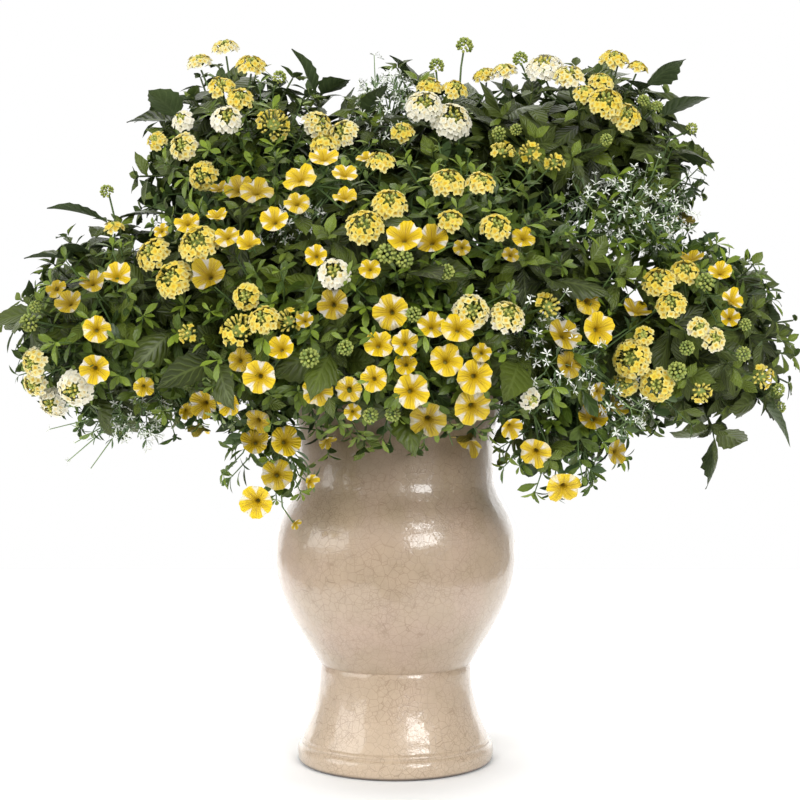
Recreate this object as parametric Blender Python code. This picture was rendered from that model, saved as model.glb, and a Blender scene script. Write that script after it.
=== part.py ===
"""A summer planting in a glazed urn: lantana, trailing calibrachoa and fine white euphorbia.

Metres, +Z up. The origin is the middle of the urn's foot, on the ground, and the planting's front
looks along -Y. Every shoot stands in its own hole in the soil, and the flower heads stand on the shoots.
"""

import math
import random

import bmesh
import bpy
from mathutils import Matrix, Vector
from mathutils.bvhtree import BVHTree

GAP = 0.0003
SEED = 11

# The urn's outline: (radius, height) of each place where its curve changes.
SEGMENTS = 20
WALL = 0.008
FOOT_EDGE = [(0.0, 0.0), (0.0925, 0.0), (0.097, 0.004), (0.097, 0.015), (0.0925, 0.021)]
FOOT_TOP = (0.0915, 0.025)
WAIST = (0.0755, 0.090)
GROOVE = (0.0745, 0.0965)
BELLY_FOOT = (0.0772, 0.100)
BELLY = (0.121, 0.207)
NECK = (0.0990, 0.280)
NECK_TOP = (0.0985, 0.305)
LIP = (0.1125, 0.369)
LIP_ROLL = 0.004
FLOOR_HEIGHT = 0.016
INNER_HEIGHTS = [0.345, 0.300, 0.262, 0.207, 0.150, 0.0965, 0.045]

# The soil and the holes that the stems stand in.
SOIL_TOP = 0.353
SOIL_DOME = 0.006
SOIL_LUMP = 0.0025
HOLE_WIDTH = 0.0052
HOLE_DEPTH = 0.016
HOLE_SIDES = 5
HOLE_RING = 0.072
HOLE_SPACING = 0.012
HOLE_SEARCH_STEP = 0.0084
HOLE_SEARCH_RINGS = 8
HOLE_SEARCH_TURNS = 24

# Where the planting is drawn from: places in the tables below are as they appear from this point,
# on the upright plane through the urn's axis.
VIEW_DISTANCE = 1.467
VIEW_HEIGHT = 0.357

# The mounds that the leaves and flowers cover: (centre, radii).
MOUNDS = [
    ((0.00, 0.00, 0.455), (0.290, 0.235, 0.165)),
    ((-0.150, 0.015, 0.590), (0.115, 0.135, 0.105)),
    ((0.170, 0.015, 0.590), (0.145, 0.140, 0.105)),
    ((0.020, 0.030, 0.575), (0.125, 0.150, 0.115)),
    ((-0.255, -0.010, 0.425), (0.125, 0.170, 0.105)),
    ((0.265, -0.010, 0.415), (0.130, 0.170, 0.105)),
    ((0.000, -0.130, 0.400), (0.200, 0.110, 0.085)),
    ((-0.115, -0.105, 0.310), (0.050, 0.050, 0.075)),
    ((0.150, -0.100, 0.320), (0.070, 0.060, 0.060)),
]

# Leafy stands: the kind of plant, and the middle of the bush that its shoots and flowers spread from.
STANDS = {
    "upper_left": ("lantana", (-0.165, 0.015, 0.580)),
    "upper_middle": ("lantana", (-0.050, 0.040, 0.565)),
    "upper_centre": ("lantana", (0.065, 0.025, 0.590)),
    "upper_right": ("lantana", (0.195, 0.020, 0.585)),
    "left_wing": ("lantana", (-0.280, 0.000, 0.440)),
    "left_front": ("lantana", (-0.165, -0.085, 0.465)),
    "centre_front": ("lantana", (-0.015, -0.095, 0.455)),
    "right_front": ("lantana", (0.130, -0.085, 0.455)),
    "right_wing": ("lantana", (0.285, 0.000, 0.425)),
    "back_left": ("lantana", (-0.165, 0.120, 0.470)),
    "back_middle": ("lantana", (0.005, 0.150, 0.490)),
    "back_right": ("lantana", (0.175, 0.125, 0.470)),
    "upper_drift": ("calibrachoa", (-0.115, -0.065, 0.540)),
    "left_drift": ("calibrachoa", (-0.235, -0.085, 0.395)),
    "left_trail": ("calibrachoa", (-0.105, -0.140, 0.385)),
    "centre_drift": ("calibrachoa", (0.015, -0.165, 0.395)),
    "heart": ("calibrachoa", (0.065, -0.120, 0.510)),
    "right_drift": ("calibrachoa", (0.165, -0.140, 0.375)),
    "right_edge": ("calibrachoa", (0.265, -0.040, 0.500)),
    "back_left_drift": ("calibrachoa", (-0.085, 0.165, 0.400)),
    "back_right_drift": ("calibrachoa", (0.105, 0.165, 0.400)),
    "top": ("euphorbia", (-0.005, -0.010, 0.630)),
    "right": ("euphorbia", (0.215, -0.075, 0.530)),
    "low_right": ("euphorbia", (0.115, -0.160, 0.425)),
    "low_left": ("euphorbia", (-0.255, -0.070, 0.345)),
}

# Lantana heads: name: (stand, {stage: [(x, z, radius)]}), left to right and top to bottom.
LANTANA_HEADS = {
    "far_left_top": ("upper_left", {
        "open": [(-0.196, 0.693, 0.014), (-0.176, 0.701, 0.015), (-0.144, 0.690, 0.016),
                 (-0.174, 0.669, 0.014), (-0.155, 0.657, 0.014), (-0.122, 0.632, 0.018)],
        "white": [(-0.164, 0.636, 0.016)],
        "bud": [(-0.116, 0.679, 0.007)]}),
    "far_left_side": ("upper_left", {
        "open": [(-0.211, 0.610, 0.015), (-0.238, 0.616, 0.011), (-0.192, 0.581, 0.015)],
        "white": [(-0.212, 0.636, 0.012)]}),
    "middle": ("upper_middle", {
        "open": [(-0.078, 0.631, 0.017), (-0.071, 0.611, 0.014), (-0.014, 0.594, 0.014),
                 (0.007, 0.624, 0.012), (-0.005, 0.552, 0.017), (-0.030, 0.529, 0.018)],
        "white": [(-0.053, 0.625, 0.017)],
        "bud": [(-0.008, 0.503, 0.009), (0.010, 0.497, 0.008)]}),
    "crown": ("upper_centre", {
        "open": [(0.034, 0.669, 0.013), (0.059, 0.666, 0.014), (0.089, 0.680, 0.013)],
        "white": [(0.025, 0.641, 0.019), (0.056, 0.635, 0.021), (0.109, 0.684, 0.014)],
        "bud": [(0.069, 0.710, 0.009), (0.041, 0.690, 0.008)]}),
    "centre_column": ("upper_centre", {
        "open": [(0.053, 0.573, 0.017), (0.078, 0.565, 0.014), (0.056, 0.536, 0.012),
                 (0.101, 0.529, 0.015)]}),
    "right_crown": ("upper_right", {
        "open": [(0.174, 0.679, 0.016), (0.190, 0.667, 0.012), (0.208, 0.651, 0.018),
                 (0.234, 0.640, 0.016), (0.218, 0.695, 0.017), (0.242, 0.688, 0.011),
                 (0.206, 0.674, 0.013)],
        "white": [(0.149, 0.687, 0.020)],
        "bud": [(0.125, 0.697, 0.008), (0.248, 0.656, 0.006), (0.261, 0.650, 0.006),
                (0.296, 0.628, 0.006)]}),
    "right_bunch": ("upper_right", {
        "open": [(0.107, 0.605, 0.014), (0.135, 0.604, 0.013), (0.159, 0.594, 0.011)],
        "bud": [(0.104, 0.623, 0.007), (0.121, 0.627, 0.006), (0.211, 0.617, 0.006)]}),
    "left_bunch": ("left_front", {
        "open": [(-0.241, 0.502, 0.018), (-0.196, 0.512, 0.020), (-0.220, 0.477, 0.019)]}),
    "left_tip": ("left_wing", {
        "open": [(-0.281, 0.528, 0.011), (-0.360, 0.395, 0.015), (-0.359, 0.374, 0.014)],
        "white": [(-0.341, 0.355, 0.016), (-0.319, 0.369, 0.018)],
        "bud": [(-0.288, 0.565, 0.007), (-0.365, 0.434, 0.009), (-0.359, 0.450, 0.006)]}),
    "left_breast": ("left_front", {
        "open": [(-0.156, 0.426, 0.018), (-0.128, 0.434, 0.015), (-0.111, 0.436, 0.014),
                 (-0.207, 0.423, 0.011)],
        "white": [(-0.140, 0.450, 0.014), (-0.061, 0.483, 0.015)]}),
    "breast": ("centre_front", {
        "bud": [(-0.085, 0.399, 0.009), (-0.049, 0.409, 0.007), (0.019, 0.442, 0.007),
                (0.052, 0.485, 0.007), (-0.024, 0.342, 0.007), (-0.002, 0.343, 0.007)]}),
    "right_breast": ("right_front", {
        "open": [(0.112, 0.439, 0.017), (0.076, 0.445, 0.017), (0.153, 0.451, 0.013)],
        "white": [(0.136, 0.358, 0.010)]}),
    "right_shoulder": ("right_wing", {
        "open": [(0.264, 0.474, 0.017), (0.285, 0.480, 0.015), (0.272, 0.457, 0.015),
                 (0.319, 0.417, 0.012)],
        "white": [(0.303, 0.429, 0.011)],
        "bud": [(0.310, 0.474, 0.009), (0.350, 0.432, 0.006), (0.348, 0.403, 0.007)]}),
    "right_tip": ("right_wing", {
        "open": [(0.237, 0.398, 0.019), (0.250, 0.416, 0.010), (0.262, 0.372, 0.017),
                 (0.234, 0.374, 0.013), (0.306, 0.365, 0.012), (0.367, 0.380, 0.013)],
        "bud": [(0.282, 0.386, 0.009), (0.292, 0.409, 0.007), (0.384, 0.350, 0.006),
                (0.383, 0.368, 0.006)]}),
}

# Calibrachoa blooms: name: (stand, [(x, z, radius)]).
CALIBRACHOA_BLOOMS = {
    "high": ("upper_drift", [
        (-0.071, 0.600, 0.014), (-0.096, 0.580, 0.016), (-0.050, 0.584, 0.012),
        (-0.050, 0.561, 0.011), (-0.030, 0.600, 0.009)]),
    "high_left": ("upper_drift", [
        (-0.156, 0.569, 0.014), (-0.138, 0.564, 0.016), (-0.176, 0.569, 0.009),
        (-0.098, 0.555, 0.012), (-0.116, 0.543, 0.013)]),
    "shoulder": ("upper_drift", [
        (-0.208, 0.535, 0.012), (-0.178, 0.542, 0.010), (-0.169, 0.521, 0.012),
        (-0.146, 0.514, 0.011), (-0.186, 0.482, 0.016), (-0.234, 0.527, 0.008)]),
    "wing": ("left_drift", [
        (-0.339, 0.469, 0.010), (-0.326, 0.455, 0.013), (-0.303, 0.475, 0.012),
        (-0.278, 0.482, 0.013), (-0.298, 0.428, 0.013), (-0.300, 0.388, 0.014)]),
    "low_left": ("left_drift", [
        (-0.251, 0.370, 0.010), (-0.191, 0.353, 0.014), (-0.165, 0.354, 0.012),
        (-0.208, 0.346, 0.009), (-0.196, 0.328, 0.012)]),
    "breast": ("left_trail", [
        (-0.155, 0.397, 0.011), (-0.142, 0.386, 0.015), (-0.114, 0.409, 0.012),
        (-0.090, 0.437, 0.008), (-0.062, 0.453, 0.014), (-0.080, 0.500, 0.010),
        (-0.025, 0.489, 0.010)]),
    "trail": ("left_trail", [
        (-0.138, 0.335, 0.013), (-0.140, 0.316, 0.013), (-0.109, 0.316, 0.015),
        (-0.118, 0.283, 0.015), (-0.139, 0.255, 0.016), (-0.067, 0.315, 0.009),
        (-0.066, 0.295, 0.009), (-0.084, 0.275, 0.008), (-0.099, 0.233, 0.006)]),
    "low_middle": ("centre_drift", [
        (-0.077, 0.366, 0.014), (-0.046, 0.367, 0.012), (-0.042, 0.345, 0.008),
        (-0.021, 0.378, 0.012), (-0.016, 0.413, 0.013), (0.001, 0.417, 0.012),
        (-0.004, 0.445, 0.016)]),
    "middle": ("centre_drift", [
        (0.037, 0.432, 0.013), (0.060, 0.426, 0.015), (0.018, 0.399, 0.010),
        (0.052, 0.397, 0.015), (0.017, 0.366, 0.016), (0.033, 0.336, 0.017),
        (0.087, 0.405, 0.009)]),
    "low_right": ("right_drift", [
        (0.080, 0.380, 0.016), (0.078, 0.349, 0.017), (0.072, 0.315, 0.016),
        (0.116, 0.330, 0.011), (0.140, 0.304, 0.015), (0.169, 0.268, 0.017)]),
    "heart": ("heart", [
        (0.009, 0.515, 0.016), (0.033, 0.524, 0.015), (0.067, 0.510, 0.008),
        (0.129, 0.520, 0.011), (0.116, 0.503, 0.008)]),
    "right": ("right_drift", [
        (0.170, 0.423, 0.016), (0.204, 0.428, 0.016), (0.204, 0.456, 0.013),
        (0.244, 0.439, 0.014), (0.175, 0.393, 0.013)]),
    "right_skirt": ("right_drift", [
        (0.195, 0.364, 0.009), (0.198, 0.340, 0.014), (0.221, 0.351, 0.012),
        (0.222, 0.305, 0.012)]),
    "right_side": ("right_edge", [
        (0.291, 0.538, 0.012), (0.272, 0.525, 0.008), (0.296, 0.500, 0.012),
        (0.316, 0.481, 0.011), (0.338, 0.457, 0.011), (0.336, 0.441, 0.009)]),
}

# Shoots that reach past the rest and end in leaves: (stand, [(x, z)]).
LEAFY_TIPS = {
    "upper_left": [(-0.230, 0.655)],
    "upper_middle": [(-0.088, 0.688), (-0.020, 0.660)],
    "upper_centre": [(0.020, 0.690), (0.125, 0.655)],
    "upper_right": [(0.285, 0.655), (0.296, 0.610), (0.265, 0.690)],
    "left_wing": [(-0.288, 0.565), (-0.322, 0.515), (-0.372, 0.445), (-0.300, 0.340)],
    "left_front": [(-0.240, 0.410), (-0.175, 0.375)],
    "centre_front": [(-0.060, 0.405), (0.030, 0.490), (0.015, 0.330)],
    "right_front": [(0.160, 0.480), (0.120, 0.380)],
    "right_wing": [(0.340, 0.440), (0.385, 0.340), (0.325, 0.300)],
}

# The back and the sides: how many heads or blooms each of these stands carries, all round its outer side,
# and how many leafy shoots the upper bushes send over the back.
BACK_HEADS = {"back_left": 6, "back_middle": 7, "back_right": 6}
BACK_BLOOMS = {"back_left_drift": 6, "back_right_drift": 6}
BACK_TIPS = {"upper_left": 3, "upper_middle": 3, "upper_centre": 4, "upper_right": 3}
BACK_TIPS_LEAN = (0.35, 1.0, 0.45)
BACK_TIPS_WIDTH = 1.0

# Bushes, by kind of plant: the radius of the dense middle and of the stem, and the leaves or twigs on it.
MIDDLE_RADIUS = {"lantana": 0.031, "calibrachoa": 0.018, "euphorbia": 0.009}
STEM_RADIUS = {"lantana": 0.0022, "calibrachoa": 0.0017, "euphorbia": 0.0013}
LEAF_LENGTH = {"lantana": 0.056, "calibrachoa": 0.028}
LEAF_COUNT = {"lantana": 7, "calibrachoa": 7}
TWIG_COUNT = 8
# A stem's way: how far it rises from its foot before it bends, how much of the way out it takes there and
# leaves for its end, and how high its first point over the hole stands.
STEM_STEPS = 2
STEM_RISE = 0.080
STEM_LEAN = 0.05
STEM_ARRIVAL = 0.45
STEM_DROP = 0.012
STEM_FOOT_GAP = 0.003
STEM_COLLAR = 0.022
# The point that a bush's leaves and twigs spread away from.
LEAF_FOCUS = (0.0, 0.0, 0.42)
TWIG_FOCUS = (0.0, 0.0, 0.44)
LEAF_THICKNESS = 0.0013
LEAF_FOLD = 0.16
LEAF_DROOP = 0.30
LEAF_STALK = 0.0011
LEAF_RISE = 0.75
LEAF_WIDTH = 2.2
LEAF_SPACINGS = [0.55, 0.35, 0.18]
# One side of a leaf from stalk to tip: (along, across), in leaf lengths, and the places on its rib.
LEAF_SHAPES = {
    "lantana": ([(0.17, 0.024), (0.38, 0.275), (0.76, 0.150)], [0.30, 0.62]),
    "calibrachoa": ([(0.62, 0.165), (0.88, 0.110)], [0.60]),
}

# Flowers and the knots that their stalks spread from.
STALK_SIDES = 3
STALK_RADIUS = 0.0010
KNOT_RADIUS = 0.0058
KNOT_STANDOFF = 0.014
KNOT_SHARE = (0.40, 0.68)
JOINT_RADIUS = 0.0030
ROOT_MARGIN = 0.04
BRANCH_RADIUS = 0.0016
HEAD_LOBES = 5
HEAD_DEPTH = 0.55
FUNNEL_DEPTH = 0.85
THROAT_DEPTH = 0.26
LEAST_FORWARD = 0.30
FRONT_PULL = 0.35
UP_PULL = 0.30
BACK_WIDTH = 1.25
BACK_HEAD_RADIUS = 0.017
BACK_BLOOM_RADIUS = 0.015
EUPHORBIA_REACH = 0.062
BRACT_REACH = 0.012
BRACT_SHAPE = (1.0, 0.3)
TWIG_RADIUS = 0.0008
TWIG_END_RADIUS = 0.0007

# Room between pieces, and how far a piece may be moved to find it.
CLEARANCE = 0.0006
BALL_ALLOWANCE = 1.03
FILLED_HUB = 0.030
FILLER_DEPTH = 0.97
TRIES = 40
SWAY = 0.035
NUDGES = 10
NUDGE = 0.012
APART_ROUNDS = 60
APART_SHARE = 0.6

COLOURS = {
    "glaze": ((0.62, 0.52, 0.40), 0.15),
    "soil": ((0.035, 0.022, 0.014), 0.95),
    "lantana_leaf": ((0.035, 0.075, 0.024), 0.55),
    "lantana_flower": ((0.86, 0.76, 0.28), 0.60),
    "calibrachoa_leaf": ((0.080, 0.160, 0.030), 0.55),
    "calibrachoa_flower": ((0.86, 0.56, 0.05), 0.55),
    "euphorbia": ((0.72, 0.80, 0.64), 0.60),
}


class Shape:
    """A closed surface: its points, and its faces turned outward."""

    def __init__(self, points, faces):
        self.points = [Vector(point) for point in points]
        self.faces = [tuple(face) for face in faces]
        if self.volume() < 0:
            self.faces = [face[::-1] for face in self.faces]

    def volume(self):
        """The signed volume, which is positive where the faces look outward."""
        total = 0.0
        for face in self.faces:
            first = self.points[face[0]]
            for one, two in zip(face[1:], face[2:]):
                total += first.dot(self.points[one].cross(self.points[two])) / 6
        return total

    def padded(self, distance):
        """A copy whose points all stand out by a distance, to test for clearance."""
        normals = [Vector() for _ in self.points]
        for face in self.faces:
            one, two, three = (self.points[index] for index in face[:3])
            normal = (two - one).cross(three - one)
            for index in face:
                normals[index] += normal
        points = [point + normal.normalized() * distance for point, normal in zip(self.points, normals)]
        return Shape(points, self.faces)


class Hub:
    """A dense spot that limbs grow from. It is the hull of the rings that its limbs start with."""

    def __init__(self, plant, centre, radius):
        self.plant = plant
        self.centre = centre
        self.radius = radius
        self.rings = []
        self.rooted = []
        plant.hubs.append(self)

    def ring(self, direction, radius, side, turn=0.0):
        """Three points on the hub's surface, round the direction in which a limb leaves."""
        flat = (side - direction * side.dot(direction)).normalized()
        middle = self.centre + direction * math.sqrt(self.radius ** 2 - radius ** 2)
        return ring(middle, flat, direction.cross(flat), radius, STALK_SIDES, turn)

    def has_room(self, direction, radius, margin=ROOT_MARGIN):
        """Tell whether a limb can leave in a direction, clear of the limbs already there."""
        width = math.asin(min(1.0, radius / self.radius))
        return all(direction.angle(other) > width + taken + margin for other, taken in self.rooted)

    def take(self, direction, radius):
        """Keep the room of a limb."""
        self.rooted.append((direction, math.asin(min(1.0, radius / self.radius))))


class Plant:
    """One node in the making: limbs and hubs that share their points, as one closed surface."""

    def __init__(self):
        self.points = []
        self.faces = []
        self.hubs = []

    def add(self, limb, open_end=False):
        """Add a limb without its root cap, and return the point numbers of its first and last rings."""
        start = len(self.points)
        self.points += limb.points
        kept = limb.faces[1:-1] if open_end else limb.faces[1:]
        self.faces += [tuple(index + start for index in face) for face in kept]
        root = tuple(index + start for index in limb.faces[0])
        end = tuple(index + start for index in limb.faces[-1])
        return root, end

    def close(self):
        """Close every hub with the hull of its rings, leaving out the rings' own triangles."""
        for hub in self.hubs:
            numbers = [index for numbered in hub.rings for index in numbered]
            fillers = hub_fillers(hub)
            numbers += range(len(self.points), len(self.points) + len(fillers))
            self.points += fillers
            surface = bmesh.new()
            for number in numbers:
                surface.verts.new(self.points[number])
            surface.verts.index_update()
            bmesh.ops.convex_hull(surface, input=surface.verts)
            rings = {frozenset(numbered) for numbered in hub.rings}
            for face in surface.faces:
                corners = tuple(numbers[vert.index] for vert in face.verts)
                if frozenset(corners) in rings:
                    rings.discard(frozenset(corners))
                else:
                    self.faces.append(corners)
            surface.free()
            if rings:
                raise RuntimeError("a limb's ring lies inside its hub")


def hub_fillers(hub):
    """Points that fill out a large hub where no limb leaves it."""
    if hub.radius < FILLED_HUB:
        return []
    points = []
    for direction in spread(12, Vector((0.0, 0.0, 1.0)), math.pi):
        if hub.has_room(direction, 0.2 * hub.radius):
            points.append(hub.centre + direction * hub.radius * FILLER_DEPTH)
    return points


class Planting:
    """All the limbs grown so far, which keeps every one of them clear of the others."""

    def __init__(self):
        self.plants = {}
        self.placed = []

    def hub(self, node, centre, radius):
        """A new hub in a node."""
        plant = self.plants.setdefault(node, Plant())
        made = Hub(plant, centre, radius)
        self.keep_room(node, core(centre, radius), True)
        return made

    def keep_room(self, node, shape, is_hub=False):
        """Let a shape keep its room."""
        centre, reach = bounds(shape)
        self.placed.append((node, is_hub, centre, reach, BVHTree.FromPolygons(shape.points, shape.faces)))

    def grow(self, node, hub, limb, direction, radius):
        """Grow a limb from a hub."""
        hub.take(direction, radius)
        root, _ = hub.plant.add(limb)
        hub.rings.append(root)
        self.keep_room(node, limb)

    def is_free(self, node, shape, padding=None):
        """Tell whether a limb of a node keeps its distance from all but the node's own hubs."""
        padded = shape.padded(CLEARANCE if padding is None else padding)
        centre, reach = bounds(padded)
        tree = BVHTree.FromPolygons(padded.points, padded.faces)
        for other, is_hub, middle, extent, placed in self.placed:
            if is_hub and other == node:
                continue
            if (middle - centre).length > reach + extent:
                continue
            if tree.overlap(placed):
                return False
        return True


def bounds(shape):
    """A piece's middle and how far it reaches from there."""
    middle = sum(shape.points, Vector()) / len(shape.points)
    return middle, max((point - middle).length for point in shape.points)


def across(direction, other):
    """Two directions square to one direction, the first one square to another direction too."""
    side = direction.cross(other)
    if side.length < 0.05 * other.length:
        side = direction.orthogonal()
    side.normalize()
    return side, direction.cross(side).normalized()


def stitch(first, second):
    """Triangles between two closed rings of point numbers, which may differ in count."""
    faces = []
    one, two = 0, 0
    while one < len(first) or two < len(second):
        here, there = first[one % len(first)], second[two % len(second)]
        behind = (one + 1) / len(first) <= (two + 0.5) / len(second)
        if two == len(second) or behind and one < len(first):
            one += 1
            faces.append((here, there, first[one % len(first)]))
        else:
            two += 1
            faces.append((here, there, second[two % len(second)]))
    return faces


def loft(rings):
    """A closed surface through rings of points. A ring of one point is an apex; the ends are capped."""
    points, numbered = [], []
    for ring in rings:
        numbered.append(list(range(len(points), len(points) + len(ring))))
        points += ring
    faces = [tuple(reversed(numbered[0]))] if len(numbered[0]) > 2 else []
    for below, above in zip(numbered, numbered[1:]):
        if len(above) == 1:
            faces += [(below[i], below[(i + 1) % len(below)], above[0]) for i in range(len(below))]
        elif len(below) == 1:
            faces += [(below[0], above[(i + 1) % len(above)], above[i]) for i in range(len(above))]
        else:
            faces += [face[::-1] for face in stitch(below, above)]
    if len(numbered[-1]) > 2:
        faces.append(tuple(numbered[-1]))
    return Shape(points, faces)


def ring(centre, side, up, radius, count, turn=0.0):
    """Points evenly round a centre, in the plane of two directions."""
    angles = [turn + 2 * math.pi * index / count for index in range(count)]
    return [centre + (side * math.cos(angle) + up * math.sin(angle)) * radius for angle in angles]


def tube(start, route, end_radius):
    """A tapering stem from a starting ring along a route."""
    start_radius = (start[0] - sum(start, Vector()) / 3).length
    rings = [start]
    side = start[0] - sum(start, Vector()) / 3
    for index, point in enumerate(route):
        direction = route[min(index + 1, len(route) - 1)] - (route[index - 1] if index else rings[0][0])
        direction.normalize()
        side = (side - direction * side.dot(direction)).normalized()
        radius = start_radius + (end_radius - start_radius) * (index + 1) / len(route)
        rings.append(ring(point, side, direction.cross(side), radius, STALK_SIDES))
    return loft(rings)


def bezier(start, leave, arrive, end, steps):
    """Points along a smooth curve."""
    route = []
    for step in range(steps + 1):
        t = step / steps
        route.append(start * (1 - t) ** 3 + leave * 3 * t * (1 - t) ** 2
                     + arrive * 3 * t * t * (1 - t) + end * t ** 3)
    return route


def eye():
    """The point that the planting is drawn from."""
    return Vector((0.0, -VIEW_DISTANCE, VIEW_HEIGHT))


def mound_normal(point, mound):
    """The direction straight out of a mound at a point."""
    centre, radii = mound
    return Vector([(point[i] - centre[i]) / radii[i] ** 2 for i in range(3)]).normalized()


def meet(origin, direction, mound, backwards=False):
    """How far along a line it enters a mound, or passes closest, and how close that is in radii."""
    centre, radii = mound
    start = Vector([(origin[i] - centre[i]) / radii[i] for i in range(3)])
    step = Vector([direction[i] / radii[i] for i in range(3)])
    closest = -start.dot(step) / step.dot(step)
    miss = (start + step * closest).length
    if miss >= 1:
        return closest, miss
    half_chord = math.sqrt((1 - miss * miss) / step.dot(step))
    return (closest + half_chord if backwards else closest - half_chord), miss


def on_mounds(x, z):
    """The place on the mounds that appears at (x, z), and the direction straight out of them there."""
    origin = eye()
    direction = (Vector((x, 0.0, z)) - origin).normalized()
    found = [(*meet(origin, direction, mound), mound) for mound in MOUNDS]
    hits = [entry for entry in found if entry[1] < 1]
    if hits:
        distance, _, mound = min(hits, key=lambda entry: entry[0])
    else:
        distance, _, mound = min(found, key=lambda entry: entry[1])
    place = origin + direction * distance
    return place, mound_normal(place, mound)


def outward_from(centre, direction):
    """The place where a line from inside the mounds leaves the last of them, and the way out there."""
    found = [(*meet(centre, direction, mound, backwards=True), mound) for mound in MOUNDS]
    distance, _, mound = max((entry for entry in found if entry[1] < 1), key=lambda entry: entry[0])
    place = centre + direction * distance
    return place, mound_normal(place, mound)


def spread(count, towards, width):
    """Directions spread evenly over a cap round one direction, by the golden angle."""
    side, up = across(towards.normalized(), Vector((0.0, 0.0, 1.0)))
    directions = []
    for index in range(count):
        rise = 1 - (1 - math.cos(width)) * (index + 0.5) / count
        turn = index * math.pi * (3 - math.sqrt(5))
        flat = math.sqrt(1 - rise * rise)
        directions.append(towards.normalized() * rise + (side * math.cos(turn) + up * math.sin(turn)) * flat)
    return directions


def lantana_head(hub, root, place, facing, radius, stage):
    """A stalk that opens into a lantana head: a lobed dome of florets, or a small cone of buds."""
    facing, side, up = flower_frame(hub, place, facing)
    start = hub.ring(root, STALK_RADIUS, side)
    end = ring(place - facing * radius * HEAD_DEPTH, side, up, STALK_RADIUS, STALK_SIDES)
    if stage == "bud":
        return loft([start, end, ring(place, side, up, radius, 4), [place + facing * radius * 0.9]])
    rim, florets = [], []
    for index in range(2 * HEAD_LOBES):
        angle = math.pi * index / HEAD_LOBES
        reach, rise = ((1.0, 0.12), (0.78, -0.12))[index % 2]
        rim.append(place + (side * math.cos(angle) + up * math.sin(angle)) * radius * reach
                   + facing * radius * rise)
    for index in range(HEAD_LOBES):
        angle = 2 * math.pi * (index + 0.5) / HEAD_LOBES
        rise = (0.32, 0.50)[index % 2]
        florets.append(place + (side * math.cos(angle) + up * math.sin(angle)) * radius * 0.58
                       + facing * radius * rise)
    return loft([start, end, rim, florets, [place + facing * radius * 0.62]])


def calibrachoa_bloom(hub, root, place, facing, radius, _stage):
    """A stalk that opens into a funnel of five shallow petals round a sunken throat."""
    facing, side, up = flower_frame(hub, place, facing)
    rim = []
    for index in range(10):
        angle = 2 * math.pi * index / 10
        reach = (1.0, 0.86)[index % 2]
        rim.append(place + (side * math.cos(angle) + up * math.sin(angle)) * radius * reach)
    return loft([hub.ring(root, STALK_RADIUS, side),
                 ring(place - facing * radius * FUNNEL_DEPTH, side, up, STALK_RADIUS * 1.3, STALK_SIDES),
                 rim, [place - facing * radius * THROAT_DEPTH]])


def flower_frame(hub, place, facing):
    """The way a flower looks, bent so that its stalk comes from behind, and two directions square to it."""
    direction = (place - hub.centre).normalized()
    lack = LEAST_FORWARD - facing.dot(direction)
    if lack > 0:
        facing = (facing + direction * lack * 1.4).normalized()
    side, up = across(facing, direction)
    return facing, side, up


def leaf(hub, root, lie, top, length, kind):
    """A folded, arched, pointed blade that starts as a narrow stalk on a hub, with its top turned up."""
    edge, ribs = LEAF_SHAPES[kind]
    frame = leaf_frame(hub.centre + root * hub.radius, lie, top)
    side = Vector(frame.col[1][:3])
    start = hub.ring(root, LEAF_STALK, side, math.radians(30))

    def bend(along, out, thick):
        height = LEAF_FOLD * abs(out) - LEAF_DROOP * along * along
        return Vector((along, out, height)) * length + Vector((0.0, 0.0, thick / 2))

    back = frame.inverted()
    points = [back @ point for point in start]
    left_root, right_root, low_root = 0, 1, 2
    tip = len(points)
    points.append(bend(1.0, 0.0, 0.0))
    left, right = [], []
    for along, out in edge:
        left.append(len(points))
        points.append(bend(along, out, 0.0))
        right.append(len(points))
        points.append(bend(along, -out, 0.0))
    upper, lower = [], []
    for along in ribs:
        upper.append(len(points))
        points.append(bend(along, 0.0, LEAF_THICKNESS))
        lower.append(len(points))
        points.append(bend(along, 0.0, -LEAF_THICKNESS))
    faces = [(low_root, right_root, left_root), (left_root, right_root, upper[0])]
    for corner, border, over, under in ((left_root, left, True, False), (right_root, right, False, True)):
        border = [corner] + border + [tip]
        faces += oriented(between(border, [corner] + upper + [tip], points), over)
        faces += oriented(between(border, [low_root] + lower + [tip], points), under)
    return Shape([frame @ point for point in points], faces)


def oriented(faces, forward):
    """Faces as they are, or turned over."""
    return faces if forward else [face[::-1] for face in faces]


def between(border, rib, points):
    """Triangles between a leaf's edge and its rib, which share both ends."""
    faces = []
    one, two = 0, 0
    while one < len(border) - 1 or two < len(rib) - 1:
        rib_ended = two == len(rib) - 1
        edge_first = one < len(border) - 1 and (
            rib_ended or points[border[one + 1]].x <= points[rib[two + 1]].x)
        if edge_first:
            face = (border[one], rib[two], border[one + 1])
            one += 1
        else:
            face = (border[one], rib[two], rib[two + 1])
            two += 1
        if len(set(face)) == 3:
            faces.append(face)
    return faces


def core(centre, radius):
    """A ball that stands for a hub when the room round it is kept."""
    surface = bmesh.new()
    bmesh.ops.create_icosphere(surface, subdivisions=2, radius=radius * BALL_ALLOWANCE)
    points = [centre + vert.co for vert in surface.verts]
    faces = [[vert.index for vert in face.verts] for face in surface.faces]
    surface.free()
    return Shape(points, faces)


def leaf_frame(root, direction, top):
    """The placing of a leaf that starts at a root, points along a direction and looks up as it can."""
    side = top.cross(direction)
    if side.length < 0.05:
        side = direction.orthogonal()
    side.normalize()
    normal = direction.cross(side).normalized()
    matrix = Matrix((direction, side, normal)).transposed().to_4x4()
    matrix.translation = root
    return matrix


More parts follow.
